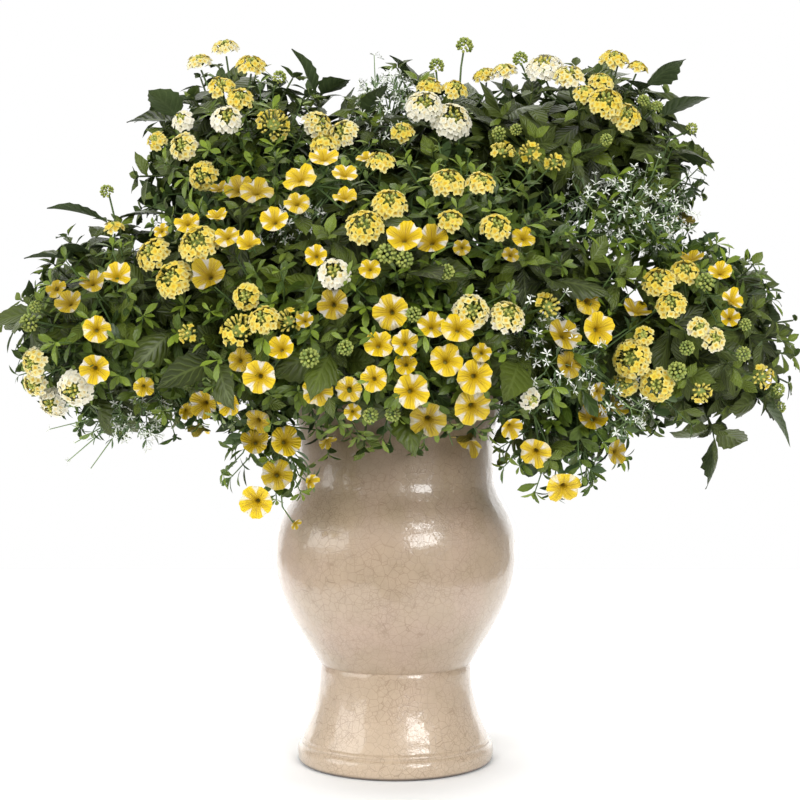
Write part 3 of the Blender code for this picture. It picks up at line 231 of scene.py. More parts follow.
class Solid:
    """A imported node's surface with its loose triangles joined, so that places can be read off it."""

    # How each limb of the solids is shaped: distances from its last point, in its own radius or length.
    OPEN_FLORET = 0.58
    OPEN_CROWN = 0.62
    LEAF_SIGNS = ((0.7588, 0.4225, 25.92), (0.4142, 0.4437, 25.64))
    LEAF_DROOP = 0.30
    MOUTH = 0.098
    JOIN = 1e-5

    def __init__(self, node: str) -> None:
        """Read a node.

        Args:
            node: The node's name.
        """
        self.surface = bmesh.new()
        self.surface.from_mesh(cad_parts[node].data)
        bmesh.ops.remove_doubles(self.surface, verts=self.surface.verts, dist=self.JOIN)

    def crowns(self, spokes: int, evenness: float) -> list[tuple[Vector, list[Vector]]]:
        """Find the points that a number of edges leave at nearly one length.

        Args:
            spokes: How many edges leave the point.
            evenness: The least share that the shortest edge has of the longest.

        Returns:
            Each such point with the far ends of its edges.
        """
        found = []
        for vert in self.surface.verts:
            if len(vert.link_edges) != spokes:
                continue
            ends = [edge.other_vert(vert).co.copy() for edge in vert.link_edges]
            lengths = [(end - vert.co).length for end in ends]
            if min(lengths) >= evenness * max(lengths):
                found.append((vert.co.copy(), ends))
        return found

    def heads(self) -> list[Flower]:
        """The lantana heads: domes with five spokes at the crown, and buds with four."""
        flowers = []
        for crown, ends in self.crowns(5, 0.85):
            middle = sum(ends, Vector()) / 5
            facing = (crown - middle).normalized()
            side = ends[0] - middle
            side -= facing * side.dot(facing)
            radius = side.length / self.OPEN_FLORET
            place = crown - facing * radius * self.OPEN_CROWN
            flowers.append(Flower(place, facing, side.normalized(), radius, stage_of(place)))
        for crown, ends in self.crowns(4, 0.995):
            middle = sum(ends, Vector()) / 4
            side = ends[0] - middle
            flowers.append(Flower(middle, (crown - middle).normalized(), side.normalized(), side.length,
                                  Stage.BUD))
        return flowers

    def blooms(self) -> list[Flower]:
        """The calibrachoa blooms: ten spokes from the throat to the rim."""
        flowers = []
        for throat, ends in self.crowns(10, 0.8):
            middle = sum(ends, Vector()) / 10
            side = max((end - middle for end in ends), key=lambda spoke: spoke.length)
            flowers.append(Flower(middle, (middle - throat).normalized(), side.normalized(), side.length))
        return flowers

    def stars(self) -> list[Vector]:
        """The tips of the euphorbia's twigs, which end in six spokes."""
        return [crown for crown, ends in self.crowns(6, 0.25)
                if 0.008 < max((end - crown).length for end in ends) < 0.016]

    def leaves(self) -> list[Leaf]:
        """The leaves, found by their tips: two even pairs of edges in the ratio that the blades have."""
        leaves = []
        for vert in self.surface.verts:
            if len(vert.link_edges) != 4:
                continue
            spokes = sorted((edge.other_vert(vert).co - vert.co for edge in vert.link_edges),
                            key=lambda spoke: spoke.length)
            near, far = (spokes[0].length + spokes[1].length) / 2, (spokes[2].length + spokes[3].length) / 2
            for ratio, rib, slope in self.LEAF_SIGNS:
                if abs(near / far - ratio) > 0.015 or spokes[1].length > 1.02 * spokes[0].length:
                    continue
                leaves.append(self.leaf_at(vert.co, spokes, far / rib, math.radians(slope)))
        return leaves

    def leaf_at(self, tip: Vector, spokes: Sequence[Vector], length: float, slope: float) -> Leaf:
        """Work out a leaf's axes from its tip.

        Args:
            tip: The leaf's last point.
            spokes: From the tip to the last points of both edges, and to those of the rib, over and under.
            length: The leaf's length.
            slope: How far the blade's last stretch drops from its axis, in radians.

        Returns:
            The leaf.
        """
        side = (spokes[0] - spokes[1]).normalized()
        back = -(spokes[2] + spokes[3]).normalized()
        lift = back.cross(side)
        if lift.dot(spokes[0] + spokes[1]) < 0:
            lift = -lift
        along = back * math.cos(slope) + lift * math.sin(slope)
        top = lift * math.cos(slope) - back * math.sin(slope)
        foot = tip.copy() - (along - top * self.LEAF_DROOP) * length
        return Leaf(foot, along.normalized(), top.normalized(), length)

    def rest(self, flowers: Sequence[Flower]) -> Vector:
        """The middle of the points that belong to no flower: the knot that the stalks spread from."""
        points = [vert.co for vert in self.surface.verts
                  if all((vert.co - flower.place).length > 1.2 * flower.radius for flower in flowers)]
        return sum(points, Vector()) / len(points)

    def lowest(self) -> Vector:
        """The middle of the three lowest points in the urn's mouth: the foot of a bush's stem."""
        inside = [vert.co for vert in self.surface.verts if vert.co.xy.length < self.MOUTH]
        return sum(sorted(inside, key=lambda point: point.z)[:3], Vector()) / 3


def stage_of(place: Vector) -> Stage:
    """How far a head has opened, by where it appears from the front.

    Args:
        place: The middle of the head.

    Returns:
        The stage of the nearest named place, or yellow; at the back the stages follow each other.
    """
    if place.y > 0.06:
        return BACK_STAGES[int(abs(place.x) * 1000) % len(BACK_STAGES)]
    scale = -EYE.y / (place.y - EYE.y)
    seen = Vector((place.x * scale, EYE.z + (place.z - EYE.z) * scale))
    best = (STAGE_REACH, Stage.YELLOW)
    for stage, spots in HEAD_STAGES.items():
        for spot in spots:
            best = min(best, ((Vector(spot) - seen).length, stage), key=lambda entry: entry[0])
    return best[1]


def sideways(axis: Vector, turn: float) -> Vector:
    """A direction square to an axis, turned round it by an angle."""
    side = axis.orthogonal().normalized()
    return side * math.cos(turn) + axis.cross(side) * math.sin(turn)


def shake(draw: random.Random, size: float) -> Vector:
    """A random shift of up to a size along each axis."""
    return Vector([draw.uniform(-1, 1) for _ in range(3)]) * size


def stem_route(foot: Vector, heart: Vector) -> tuple[Vector, ...]:
    """A main stem's curve, from its hole in the soil to the middle of its bush."""
    outward = Vector((heart.x - foot.x, heart.y - foot.y, 0.0))
    return foot, foot + UP * 0.075 + outward * 0.05, heart - outward * 0.45 - UP * 0.012, heart


def stalk_route(knot: Vector, end: Vector, facing: Vector) -> tuple[Vector, ...]:
    """A flower stalk's curve, from its knot to the back of a flower that faces some way."""
    way = end - knot
    return knot, knot + way * 0.45, end - facing * way.length * 0.3, end


def spread(count: int, towards: Vector, width: float) -> list[Vector]:
    """Directions spread evenly over a cap round one direction, by the golden angle.

    Args:
        count: How many directions.
        towards: The middle of the cap.
        width: The cap's half angle, in radians.

    Returns:
        The directions, from the middle of the cap to its rim.
    """
    axis = towards.normalized()
    found = []
    for index in range(count):
        rise = 1 - (1 - math.cos(width)) * (index + 0.5) / count
        found.append(axis * rise + sideways(axis, index * GOLDEN_ANGLE) * math.sqrt(1 - rise * rise))
    return found


def canopy_exit(start: Vector, direction: Vector) -> tuple[Vector, Vector]:
    """Find where a line from inside the planting leaves the last of its mounds.

    Args:
        start: A point inside.
        direction: The way out.

    Returns:
        The place and the direction straight out of the mound there.
    """
    exits = [(distance, mound) for mound in MOUNDS
             if (distance := mound.exit(start, direction)) is not None]
    distance, mound = max(exits, key=lambda entry: entry[0])
    place = start + direction * distance
    return place, mound.normal(place)


def canopy_depth(point: Vector) -> float:
    """How far out a point is, in radii of the mound that holds it best: 1 is the surface."""
    return min(mound.scaled(point).length for mound in MOUNDS)


def placed(foot: Vector, *columns: Vector) -> Matrix:
    """The placing with given axes."""
    matrix = Matrix(columns).transposed().to_4x4()
    matrix.translation = foot
    return matrix


def axes(foot: Vector, along: Vector, top: Vector, scale: Triple) -> Matrix:
    """The placing of a copy whose X runs along a direction and whose Z looks up as it can.

    Args:
        foot: Where the copy's origin goes.
        along: Where its X axis goes.
        top: What its Z axis turns to.
        scale: The sizes along the copy's own axes.

    Returns:
        The matrix.
    """
    side = top.cross(along)
    if side.length < 0.05:
        side = along.orthogonal()
    side.normalize()
    along = along.normalized()
    return placed(foot, along * scale[0], side * scale[1], along.cross(side) * scale[2])


def upright(foot: Vector, axis: Vector, side: Vector, scale: Triple) -> Matrix:
    """The placing of a copy whose Z runs along an axis and whose X looks to a side as it can."""
    flat = (side - axis * side.dot(axis)).normalized()
    return placed(foot, flat * scale[0], axis.cross(flat) * scale[1], axis * scale[2])


class Pattern:
    """A small closed mesh that is copied many times, with its map and the finish of each face."""

    MAP = "map"

    def __init__(self, surface: bmesh.types.BMesh) -> None:
        """Take over a finished mesh.

        Args:
            surface: The mesh, which is freed. Its points may hold a map: two numbers from 0 to 1.
        """
        layer = surface.verts.layers.float_vector.get(self.MAP)
        surface.verts.index_update()
        self.points = np.array([vert.co[:] for vert in surface.verts])
        self.maps = np.array([vert[layer][:2] if layer else (0.5, 0.5) for vert in surface.verts])
        self.corners = np.array([vert.index for face in surface.faces for vert in face.verts])
        self.sizes = np.array([len(face.verts) for face in surface.faces])
        self.finishes = np.array([face.material_index for face in surface.faces])
        surface.free()


class Growth:
    """Copies of patterns gathered into one piece."""

    def __init__(self) -> None:
        """Start with nothing."""
        self.points: list[np.ndarray] = []
        self.maps: list[np.ndarray] = []
        self.traits: list[np.ndarray] = []
        self.corners: list[np.ndarray] = []
        self.sizes: list[np.ndarray] = []
        self.finishes: list[np.ndarray] = []
        self.count = 0

    def add(self, pattern: Pattern, points: np.ndarray, tint: float, age: float, finish: int) -> None:
        """Add a pattern's faces on points of their own.

        Args:
            pattern: The pattern.
            points: Where its points go.
            tint: The copy's shade, from 0 to 1.
            age: How old the copy is, from 0 to 1.
            finish: What is added to the numbers of its faces' finishes.
        """
        self.points.append(points)
        self.maps.append(pattern.maps)
        self.traits.append(np.tile((tint, age), (len(points), 1)))
        self.corners.append(pattern.corners + self.count)
        self.sizes.append(pattern.sizes)
        self.finishes.append(pattern.finishes + finish)
        self.count += len(points)

    def stamp(self, pattern: Pattern, matrix: Matrix, tint: float = 0.5, age: float = 0.5,
              finish: int = 0) -> None:
        """Add a copy of a pattern in its place."""
        turn = np.array(matrix)
        self.add(pattern, pattern.points @ turn[:3, :3].T + turn[:3, 3], tint, age, finish)

    def thread(self, pattern: Pattern, route: Sequence[Vector], radii: tuple[float, float],
               tint: float = 0.5, age: float = 0.5, finish: int = 0) -> None:
        """Add a copy of an upright rod bent along a curve.

        Args:
            pattern: A rod of height 1 and radius 1.
            route: The four points that steer the curve.
            radii: The radius where the curve starts and where it ends.
            tint: The copy's shade.
            age: How old the copy is.
            finish: What is added to the numbers of its faces' finishes.
        """
        steer = np.array([point[:] for point in route])
        t = pattern.points[:, 2:3]
        s = 1 - t
        middle = steer[0] * s ** 3 + steer[1] * 3 * t * s * s + steer[2] * 3 * t * t * s + steer[3] * t ** 3
        heading = (steer[1] - steer[0]) * s * s + (steer[2] - steer[1]) * 2 * t * s + (steer[3] - steer[2]) * t * t
        heading /= np.linalg.norm(heading, axis=1)[:, None] + 1e-12
        chord = Vector(steer[3] - steer[0])
        side = np.cross(heading, np.array(chord.orthogonal()))
        side /= np.linalg.norm(side, axis=1)[:, None] + 1e-12
        width = radii[0] + (radii[1] - radii[0]) * t
        points = middle + (side * pattern.points[:, 0:1] + np.cross(heading, side) * pattern.points[:, 1:2]) * width
        self.add(pattern, points, tint, age, finish)

    def piece(self, name: str, node: str, slot: str, finishes: Sequence[Material], crease: float = 55.0) -> Piece:
        """Make the piece and put it in a node's place.

        Args:
            name: The piece's name.
            node: The node that it replaces.
            slot: Not used.
            finishes: Its materials, by the numbers that the faces hold.
            crease: The angle in degrees past which an edge is sharp.

        Returns:
            The new object.
        """
        corners, sizes = np.concatenate(self.corners), np.concatenate(self.sizes)
        mesh = bpy.data.meshes.new(name)
        mesh.vertices.add(self.count)
        mesh.vertices.foreach_set("co", np.concatenate(self.points).astype(np.float32).ravel())
        mesh.loops.add(len(corners))
        mesh.loops.foreach_set("vertex_index", corners.astype(np.int32))
        mesh.polygons.add(len(sizes))
        mesh.polygons.foreach_set("loop_start", (np.cumsum(sizes) - sizes).astype(np.int32))
        mesh.polygons.foreach_set("material_index", np.concatenate(self.finishes).astype(np.int32))
        mesh.update(calc_edges=True)
        mesh.uv_layers.new(name="UVMap").uv.foreach_set(
            "vector", np.concatenate(self.maps)[corners].astype(np.float32).ravel())
        traits = np.concatenate(self.traits)
        for column, trait in enumerate(("tint", "age")):
            mesh.attributes.new(trait, "FLOAT", "POINT").data.foreach_set(
                "value", traits[:, column].astype(np.float32))
        for finish in finishes:
            mesh.materials.append(finish)
        mesh.shade_smooth()
        mesh.set_sharp_from_angle(angle=math.radians(crease))
        made = bpy.data.objects.new(name, mesh)
        bpy.context.scene.collection.objects.link(made)
        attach(made, "root")
        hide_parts(node)
        return made


@dataclass(frozen=True)
class BladeForm:
    """The shape of a leaf or bract, in its own length."""

    steps: int
    across: int
    stalk: float
    half_width: float
    swell: float
    taper: float
    tooth: float = 0.0
    fold: float = 0.16
    droop: float = 0.30
    wave: float = 0.0
    twist: float = 0.0
    curl: float = 0.0
    thickness: float = 0.010
    stalk_width: float = 0.018

    def half_width_at(self, along: float, row: int) -> float:
        """How wide one side of the blade is.

        Args:
            along: How far along the blade, from 0 to 1.
            row: Which row of points it is, which sets where the teeth are.

        Returns:
            The half width.
        """
        reach = (along - self.stalk) / (1 - self.stalk)
        if reach <= 0:
            return self.stalk_width
        fullest = self.swell / (self.swell + self.taper)
        peak = fullest ** self.swell * (1 - fullest) ** self.taper
        width = self.half_width * reach ** self.swell * max(0.0, 1 - reach) ** self.taper / peak
        if along < 0.95:
            width *= 1 + self.tooth * (1 if row % 2 else -1)
            return max(width, self.stalk_width)
        return width

    def height_at(self, along: float, across: float, out: float) -> float:
        """How high a point of the blade stands over its straight axis."""
        lift = self.fold * abs(out) - self.droop * along * along
        lift += self.wave * across * math.sin(2.0 * math.pi * 1.4 * along + across)
        return lift - self.curl * (across * across) * out * out * 4.0


def blade(form: BladeForm) -> Pattern:
    """A thin closed leaf along X with its top to Z, its map running along and across it.

    Args:
        form: The leaf's shape.

    Returns:
        The pattern. Faces of the underside have finish 1.
    """
    surface = bmesh.new()
    layer = surface.verts.layers.float_vector.new(Pattern.MAP)
    bmesh.ops.create_grid(surface, x_segments=form.steps, y_segments=form.across, size=0.5)
    for vert in surface.verts:
        along, across = vert.co.x + 0.5, vert.co.y * 2
        out = across * form.half_width_at(along, round(along * form.steps))
        turn = form.twist * along
        height = form.height_at(along, across, out)
        vert.co = (along, out * math.cos(turn), height + out * math.sin(turn))
        vert[layer] = (along, 0.5 + 0.5 * across, 0.0)
    copied = bmesh.ops.duplicate(surface, geom=surface.verts[:] + surface.edges[:] + surface.faces[:])["geom"]
    under = [face for face in copied if isinstance(face, bmesh.types.BMFace)]
    bmesh.ops.reverse_faces(surface, faces=under)
    for face in under:
        face.material_index = 1
    low_side = [vert for vert in copied if isinstance(vert, bmesh.types.BMVert) and not vert.is_boundary]
    bmesh.ops.translate(surface, vec=(0.0, 0.0, -form.thickness), verts=low_side)
    bmesh.ops.remove_doubles(surface, verts=surface.verts, dist=0.0005)
    return Pattern(surface)


def turned(profile: Iterable[tuple[float, float]], steps: int) -> bmesh.types.BMesh:
    """Turn an outline round Z into a closed mesh.

    Args:
        profile: The outline as (radius, height), which starts and ends on the axis.
        steps: The number of steps round.

    Returns:
        The mesh, with its faces outward and its map looking down the axis.
    """
    surface = bmesh.new()
    layer = surface.verts.layers.float_vector.new(Pattern.MAP)
    chain = [surface.verts.new((radius, 0.0, height)) for radius, height in profile]
    edges = [surface.edges.new(pair) for pair in zip(chain, chain[1:])]
    bmesh.ops.spin(surface, geom=chain + edges, cent=(0, 0, 0), axis=(0, 0, 1), dvec=(0, 0, 0),
                   angle=2 * math.pi, steps=steps, use_merge=True, use_duplicate=False)
    bmesh.ops.remove_doubles(surface, verts=surface.verts, dist=1e-6)
    bmesh.ops.recalc_face_normals(surface, faces=surface.faces)
    widest = max(vert.co.xy.length for vert in surface.verts)
    for vert in surface.verts:
        vert[layer] = (0.5 + 0.5 * vert.co.x / widest, 0.5 + 0.5 * vert.co.y / widest, 0.0)
    return surface


def rod(sides: int, cuts: int) -> Pattern:
    """An upright rod of height 1 and radius 1, cut across so that it can bend.

    Args:
        sides: The number of sides.
        cuts: How often it is cut across.

    Returns:
        The pattern.
    """
    surface = bmesh.new()
    bmesh.ops.create_cone(surface, cap_ends=True, segments=sides, radius1=1.0, radius2=1.0, depth=1.0)
    bmesh.ops.translate(surface, vec=(0.0, 0.0, 0.5), verts=surface.verts)
    for index in range(cuts):
        bmesh.ops.bisect_plane(surface, geom=surface.verts[:] + surface.edges[:] + surface.faces[:],
                               plane_co=(0.0, 0.0, (index + 1) / (cuts + 1)), plane_no=(0, 0, 1))
    return Pattern(surface)


class Signal:
    """A number or a colour on its way through a node tree; sums with it add nodes to the tree."""

    def __init__(self, wiring: Wiring, socket: bpy.types.NodeSocket) -> None:
        """Hold an output of a node."""
        self.wiring, self.socket = wiring, socket

    def __add__(self, other: Signal | float) -> Signal:
        """Add to it."""
        return self.wiring.math("ADD", self, other)

    def __sub__(self, other: Signal | float) -> Signal:
        """Take something off it."""
        return self.wiring.math("SUBTRACT", self, other)

    def __rsub__(self, other: Signal | float) -> Signal:
        """Take it off a plain number."""
        return self.wiring.math("SUBTRACT", other, self)

    def __mul__(self, other: Signal | float) -> Signal:
        """Multiply it."""
        return self.wiring.math("MULTIPLY", self, other)

    def __truediv__(self, other: Signal | float) -> Signal:
        """Divide it."""
        return self.wiring.math("DIVIDE", self, other)

    def __abs__(self) -> Signal:
        """Drop its sign."""
        return self.wiring.math("ABSOLUTE", self)


def title(name: str) -> str:
    """A group socket's name for an argument's name."""
    return name.replace("_", " ").capitalize()


class Wiring:
    """A node tree being wired, with short ways to add the nodes that the finishes use."""

    def __init__(self, tree: Tree) -> None:
        """Wire a tree."""
        self.tree = tree

    def feed(self, socket: bpy.types.NodeSocket, value: object) -> None:
        """Give a socket a link or a plain value."""
        if isinstance(value, Signal):
            self.tree.links.new(value.socket, socket)
        elif isinstance(value, tuple) and len(value) == 3 and socket.type == "RGBA":
            socket.default_value = (*value, 1.0)
        else:
            socket.default_value = value

    def fill(self, node: Node, inputs: dict[int | str, object]) -> None:
        """Feed some of a node's inputs."""
        for name, value in inputs.items():
            self.feed(node.inputs[name], value)

    def node(self, kind: str, inputs: dict[int | str, object], **settings: object) -> Node:
        """Add a shader node, set its options and feed its inputs."""
        made = self.tree.nodes.new(f"ShaderNode{kind}")
        for name, value in settings.items():
            setattr(made, name, value)
        self.fill(made, inputs)
        return made

    def take(self, kind: str, output: int | str, inputs: dict[int | str, object], **settings: object) -> Signal:
        """Add a shader node and take one of its outputs."""
        return Signal(self, self.node(kind, inputs, **settings).outputs[output])

    def math(self, operation: str, *values: object) -> Signal:
        """Work out a number."""
        return self.take("Math", 0, dict(enumerate(values)), operation=operation)

    def largest(self, *values: Signal) -> Signal:
        """The largest of some numbers."""
        return functools.reduce(functools.partial(self.math, "MAXIMUM"), values)

    def fade(self, value: object, low: object, high: object, start: object = 0.0, end: object = 1.0,
             way: str = "SMOOTHSTEP") -> Signal:
        """Go from one number to another as a value goes from low to high."""
        return self.take("MapRange", "Result", {"Value": value, "From Min": low, "From Max": high,
                                                "To Min": start, "To Max": end}, interpolation_type=way)

    def mix(self, factor: object, one: object, two: object, blend: str = "MIX") -> Signal:
        """Mix two colours."""
        return self.take("Mix", 2, {0: factor, 6: one, 7: two}, data_type="RGBA", blend_type=blend)

    def noise(self, scale: object, detail: float = 2.0, vector: Signal | None = None) -> Signal:
        """Cloudy noise in the object's own coordinates, or along a vector."""
        return self.take("TexNoise", "Fac", {"Vector": vector or self.place(), "Scale": scale,
                                             "Detail": detail})

    def place(self) -> Signal:
        """The object's own coordinates."""
        return self.take("TexCoord", "Object", {})

    def parts(self, vector: Signal) -> list[Signal]:
        """A vector's three numbers."""
        return [Signal(self, part) for part in self.node("SeparateXYZ", {0: vector}).outputs]

    def chart(self) -> dict[str, Signal]:
        """The two numbers of the piece's own map, as a group takes them."""
        along, across, _ = self.parts(self.take("UVMap", 0, {}, uv_map="UVMap"))
        return {"along": along, "across": across}

    def trait(self, name: str) -> Signal:
        """A number that each copy holds."""
        return self.take("Attribute", "Fac", {}, attribute_name=name)

    def ray(self, kind: str) -> Signal:
        """1 on rays of a kind, such as those that a glossy surface sends out, else 0."""
        return self.take("LightPath", f"Is {kind} Ray", {})

    def use(self, group: Tree, **values: object) -> dict[str, Signal]:
        """Place a group with its own values and take its outputs by name."""
        made = self.node("Group", {}, node_tree=group)
        self.fill(made, {title(name): value for name, value in values.items()})
        return {output.name: Signal(self, output) for output in made.outputs}

    def mottled(self, colour: Signal, group: Tree, **values: float) -> Signal:
        """Make a colour uneven."""
        return self.mix(1.0, colour, self.use(group, **values)["Shade"], "MULTIPLY")

    def bump(self, height: Signal, strength: float, distance: float) -> Signal:
        """Turn a height into a normal."""
        return self.take("Bump", 0, {"Height": height, "Strength": strength, "Distance": distance})

    def give(self, **results: Signal) -> Tree:
        """Close a group with its outputs."""
        for name in results:
            self.tree.interface.new_socket(name=title(name), in_out="OUTPUT", socket_type="NodeSocketFloat")
        self.fill(self.tree.nodes.new("NodeGroupOutput"), {title(name): result for name, result in results.items()})
        return self.tree


def new_group(name: str, **inputs: float) -> tuple[Wiring, list[Signal]]:
    """Start a shader group of numbers.

    Args:
        name: The group's name.
        inputs: Its inputs and their usual values.

    Returns:
        The group's wiring and its inputs.
    """
    wiring = Wiring(bpy.data.node_groups.new(name, "ShaderNodeTree"))
    for label, value in inputs.items():
        wiring.tree.interface.new_socket(
            name=title(label), in_out="INPUT", socket_type="NodeSocketFloat").default_value = value
    entry = wiring.tree.nodes.new("NodeGroupInput")
    return wiring, [Signal(wiring, entry.outputs[title(label)]) for label in inputs]


def vein_group() -> Tree:
    """Leaf veins by the leaf's map: a rib and slanting side veins, and the pillows between them."""
    wiring, (along, across, count, slant, width) = new_group(
        "leaf veins", along=0.0, across=0.0, count=6.0, slant=0.3, width=0.16)
    out = abs((across - 0.5) * 2.0)
    beside = abs(wiring.math("FRACT", (along - out * slant) * count) - 0.5)
    side_vein = wiring.fade(beside, 0.0, width, 1.0, 0.0) * wiring.fade(out, 0.98, 0.6)
    rib = wiring.fade(out, 0.03, 0.12, 1.0, 0.0)
    return wiring.give(vein=wiring.largest(rib, side_vein),
                       relief=wiring.fade(beside, 0.0, 0.5) * wiring.fade(out, 0.0, 0.25))


def mottle_group() -> Tree:
    """Uneven shade over a surface, from clouds of two sizes."""
    wiring, (coarse, fine, low, high) = new_group("mottle", coarse=60.0, fine=400.0, low=0.8, high=1.2)
    clouds = wiring.noise(coarse, 3.0) * 0.65 + wiring.noise(fine) * 0.35
    return wiring.give(shade=wiring.fade(clouds, 0.3, 0.7, low, high, "LINEAR"))


def ray_group() -> Tree:
    """Polar coordinates on a flower's map: the distance from its middle, and waves and streaks round it."""
    wiring, (along, across, petals, seed) = new_group("petal rays", along=0.5, across=0.5, petals=5.0, seed=0.0)
    x, y = (along - 0.5) * 2.0, (across - 0.5) * 2.0
    radius = wiring.math("SQRT", x * x + y * y)
    angle = wiring.math("ARCTAN2", y, x) * petals
    around = wiring.take("CombineXYZ", 0, {0: x / radius, 1: y / radius, 2: seed + radius * 0.25})
    return wiring.give(radius=radius, wave=wiring.math("COSINE", angle),
                       fine_wave=wiring.math("COSINE", angle * 5.0), streaks=wiring.noise(4.5, 3.0, around))


@dataclass(frozen=True)
class Groups:
    """The shader groups that the finishes share."""

    veins: Tree = field(default_factory=vein_group)
    mottle: Tree = field(default_factory=mottle_group)
    rays: Tree = field(default_factory=ray_group)


def new_material(name: str, roughness: float) -> tuple[Material, Wiring, Node]:
    """Start a material.

    Args:
        name: The material's name.
        roughness: How rough it is.

    Returns:
        The material, its wiring and its shader.
    """
    material = bpy.data.materials.new(name)
    material.use_nodes = True
    shader = material.node_tree.nodes["Principled BSDF"]
    shader.inputs["Roughness"].default_value = roughness
    return material, Wiring(material.node_tree), shader


@dataclass(frozen=True)
class LeafFinish:
    """A leaf's colours: old and young, its veins, and how strongly the veins are pressed in."""

    name: str
    old: Triple
    mature: Triple
    young: Triple
    vein: Triple
    roughness: float
    vein_count: float
    vein_strength: float
    relief: float

    def build(self, groups: Groups) -> Material:
        """Make the material.

        Args:
            groups: The shared shader groups.

        Returns:
            The material.
        """
        material, wiring, shader = new_material(self.name, self.roughness)
        veins = wiring.use(groups.veins, count=self.vein_count, **wiring.chart())
        colour = wiring.mix(wiring.trait("tint"), self.old, self.mature)
        colour = wiring.mix(wiring.fade(wiring.trait("age"), 0.35, 1.0), colour, self.young)
        colour = wiring.mix(veins["Vein"] * self.vein_strength, colour, self.vein)
        colour = wiring.mottled(colour, groups.mottle, coarse=35.0, fine=500.0, low=0.75, high=1.25)
        wiring.fill(shader, {"Base Color": colour, "Normal": wiring.bump(veins["Relief"], self.relief, 0.0006)})
        return material


@dataclass(frozen=True)
class StemFinish:
    """A stem's colours, green where it is young and brown where it is old."""

    name: str
    green: Triple
    brown: Triple

    def build(self, groups: Groups) -> Material:
        """Make the material."""
        material, wiring, shader = new_material(self.name, 0.6)
        colour = wiring.mix(wiring.trait("age"), self.brown, self.green)
        wiring.fill(shader, {"Base Color": wiring.mottled(colour, groups.mottle, coarse=90.0, fine=900.0,
                                                          low=0.7, high=1.3)})
        return material


@dataclass(frozen=True)
class FloretFinish:
    """A lantana floret: a deep yellow eye in petals that fade from yellow through cream to white."""

    name: str
    eye: Triple
    fresh: Triple
    cream: Triple
    faded: Triple

    def build(self, groups: Groups) -> Material:
        """Make the material."""
        material, wiring, shader = new_material(self.name, 0.55)
        rays = wiring.use(groups.rays, petals=4.0, **wiring.chart())
        age = wiring.trait("age")
        petal = wiring.mix(wiring.fade(age, 0.15, 0.55), self.fresh, self.cream)
        petal = wiring.mix(wiring.fade(age, 0.55, 0.95), petal, self.faded)
        eye = wiring.fade(rays["Radius"], 0.62, 0.22) * wiring.fade(age, 1.15, 0.45)
        wiring.fill(shader, {"Base Color": wiring.mottled(wiring.mix(eye, petal, self.eye), groups.mottle,
                                                          coarse=150.0, fine=900.0, low=0.88, high=1.08)})
        return material


@dataclass(frozen=True)
class PetalFinish:
    """A calibrachoa petal: golden wedges with dark ribs, white between them, and a brown throat, with painted shade
    that darkens it towards the throat and darkens some blooms.
    """

    name: str
    gold: Triple
    funnel_shade: Triple
    white: Triple
    rib: Triple
    throat: Triple
    depth: float = 1.0

    def build(self, groups: Groups) -> Material:
        """Make the material."""
        material, wiring, shader = new_material(self.name, 0.5)
        rays = wiring.use(groups.rays, petals=5.0, seed=wiring.trait("tint") * 9.0, **wiring.chart())
        radius, wave, fine_wave, streaks = rays.values()
        between = (streaks - 0.5) * 1.7 - wave
        whiteness = wiring.fade(wiring.trait("age"), 0.0, 1.0, 0.20, -0.30)
        reach = wiring.fade(radius, 0.15, 1.0, 1.10, 0.30) + whiteness
        star = wiring.fade(between - reach, -0.10, 0.45) * (wiring.fade(radius, 0.30, 0.65) * self.depth)
        # painted shade: the petal darkens towards the throat, down the funnel
        colour = wiring.mix(wiring.fade(radius, 0.90, 0.20), self.gold, self.funnel_shade)
        colour = wiring.mix(star, colour, self.white)
        ribs = wiring.largest(wiring.fade(fine_wave, 0.70, 1.0, 0.0, 0.24), wiring.fade(wave, 0.955, 1.0, 0.0, 0.85),
                              wiring.fade(streaks, 0.54, 0.66, 0.0, 0.22))
        colour = wiring.mix(ribs * wiring.fade(radius, 1.02, 0.40), colour, self.rib)
        colour = wiring.mix(wiring.fade(radius, 0.19, 0.05), colour, self.throat)
        # painted shade: each bloom is darkened by a random amount, as blooms in shade are
        shade = wiring.fade(wiring.trait("tint"), 0.0, 0.75, 0.55, 1.04)
        wiring.fill(shader, {"Base Color": wiring.mix(1.0, colour, shade, "MULTIPLY"),
                             "Normal": wiring.bump(fine_wave - wave * 1.6, 0.5, 0.0008)})
        return material


@dataclass(frozen=True)
class PlainFinish:
    """One colour with a soft unevenness, for bracts, buds, tubes and soil."""

    name: str
    light: Triple
    dark: Triple
    roughness: float
    coarse: float = 120.0
    relief: float = 0.0

    def build(self, groups: Groups) -> Material:
        """Make the material."""
        material, wiring, shader = new_material(self.name, self.roughness)
        shade = wiring.use(groups.mottle, coarse=self.coarse, fine=self.coarse * 6, low=0.0, high=1.0)["Shade"]
        blend = (shade + wiring.trait("tint")) * 0.5
        wiring.fill(shader, {"Base Color": wiring.mix(blend, self.dark, self.light)})
        if self.relief:
            wiring.fill(shader, {"Normal": wiring.bump(shade, 0.8, self.relief)})
        return material


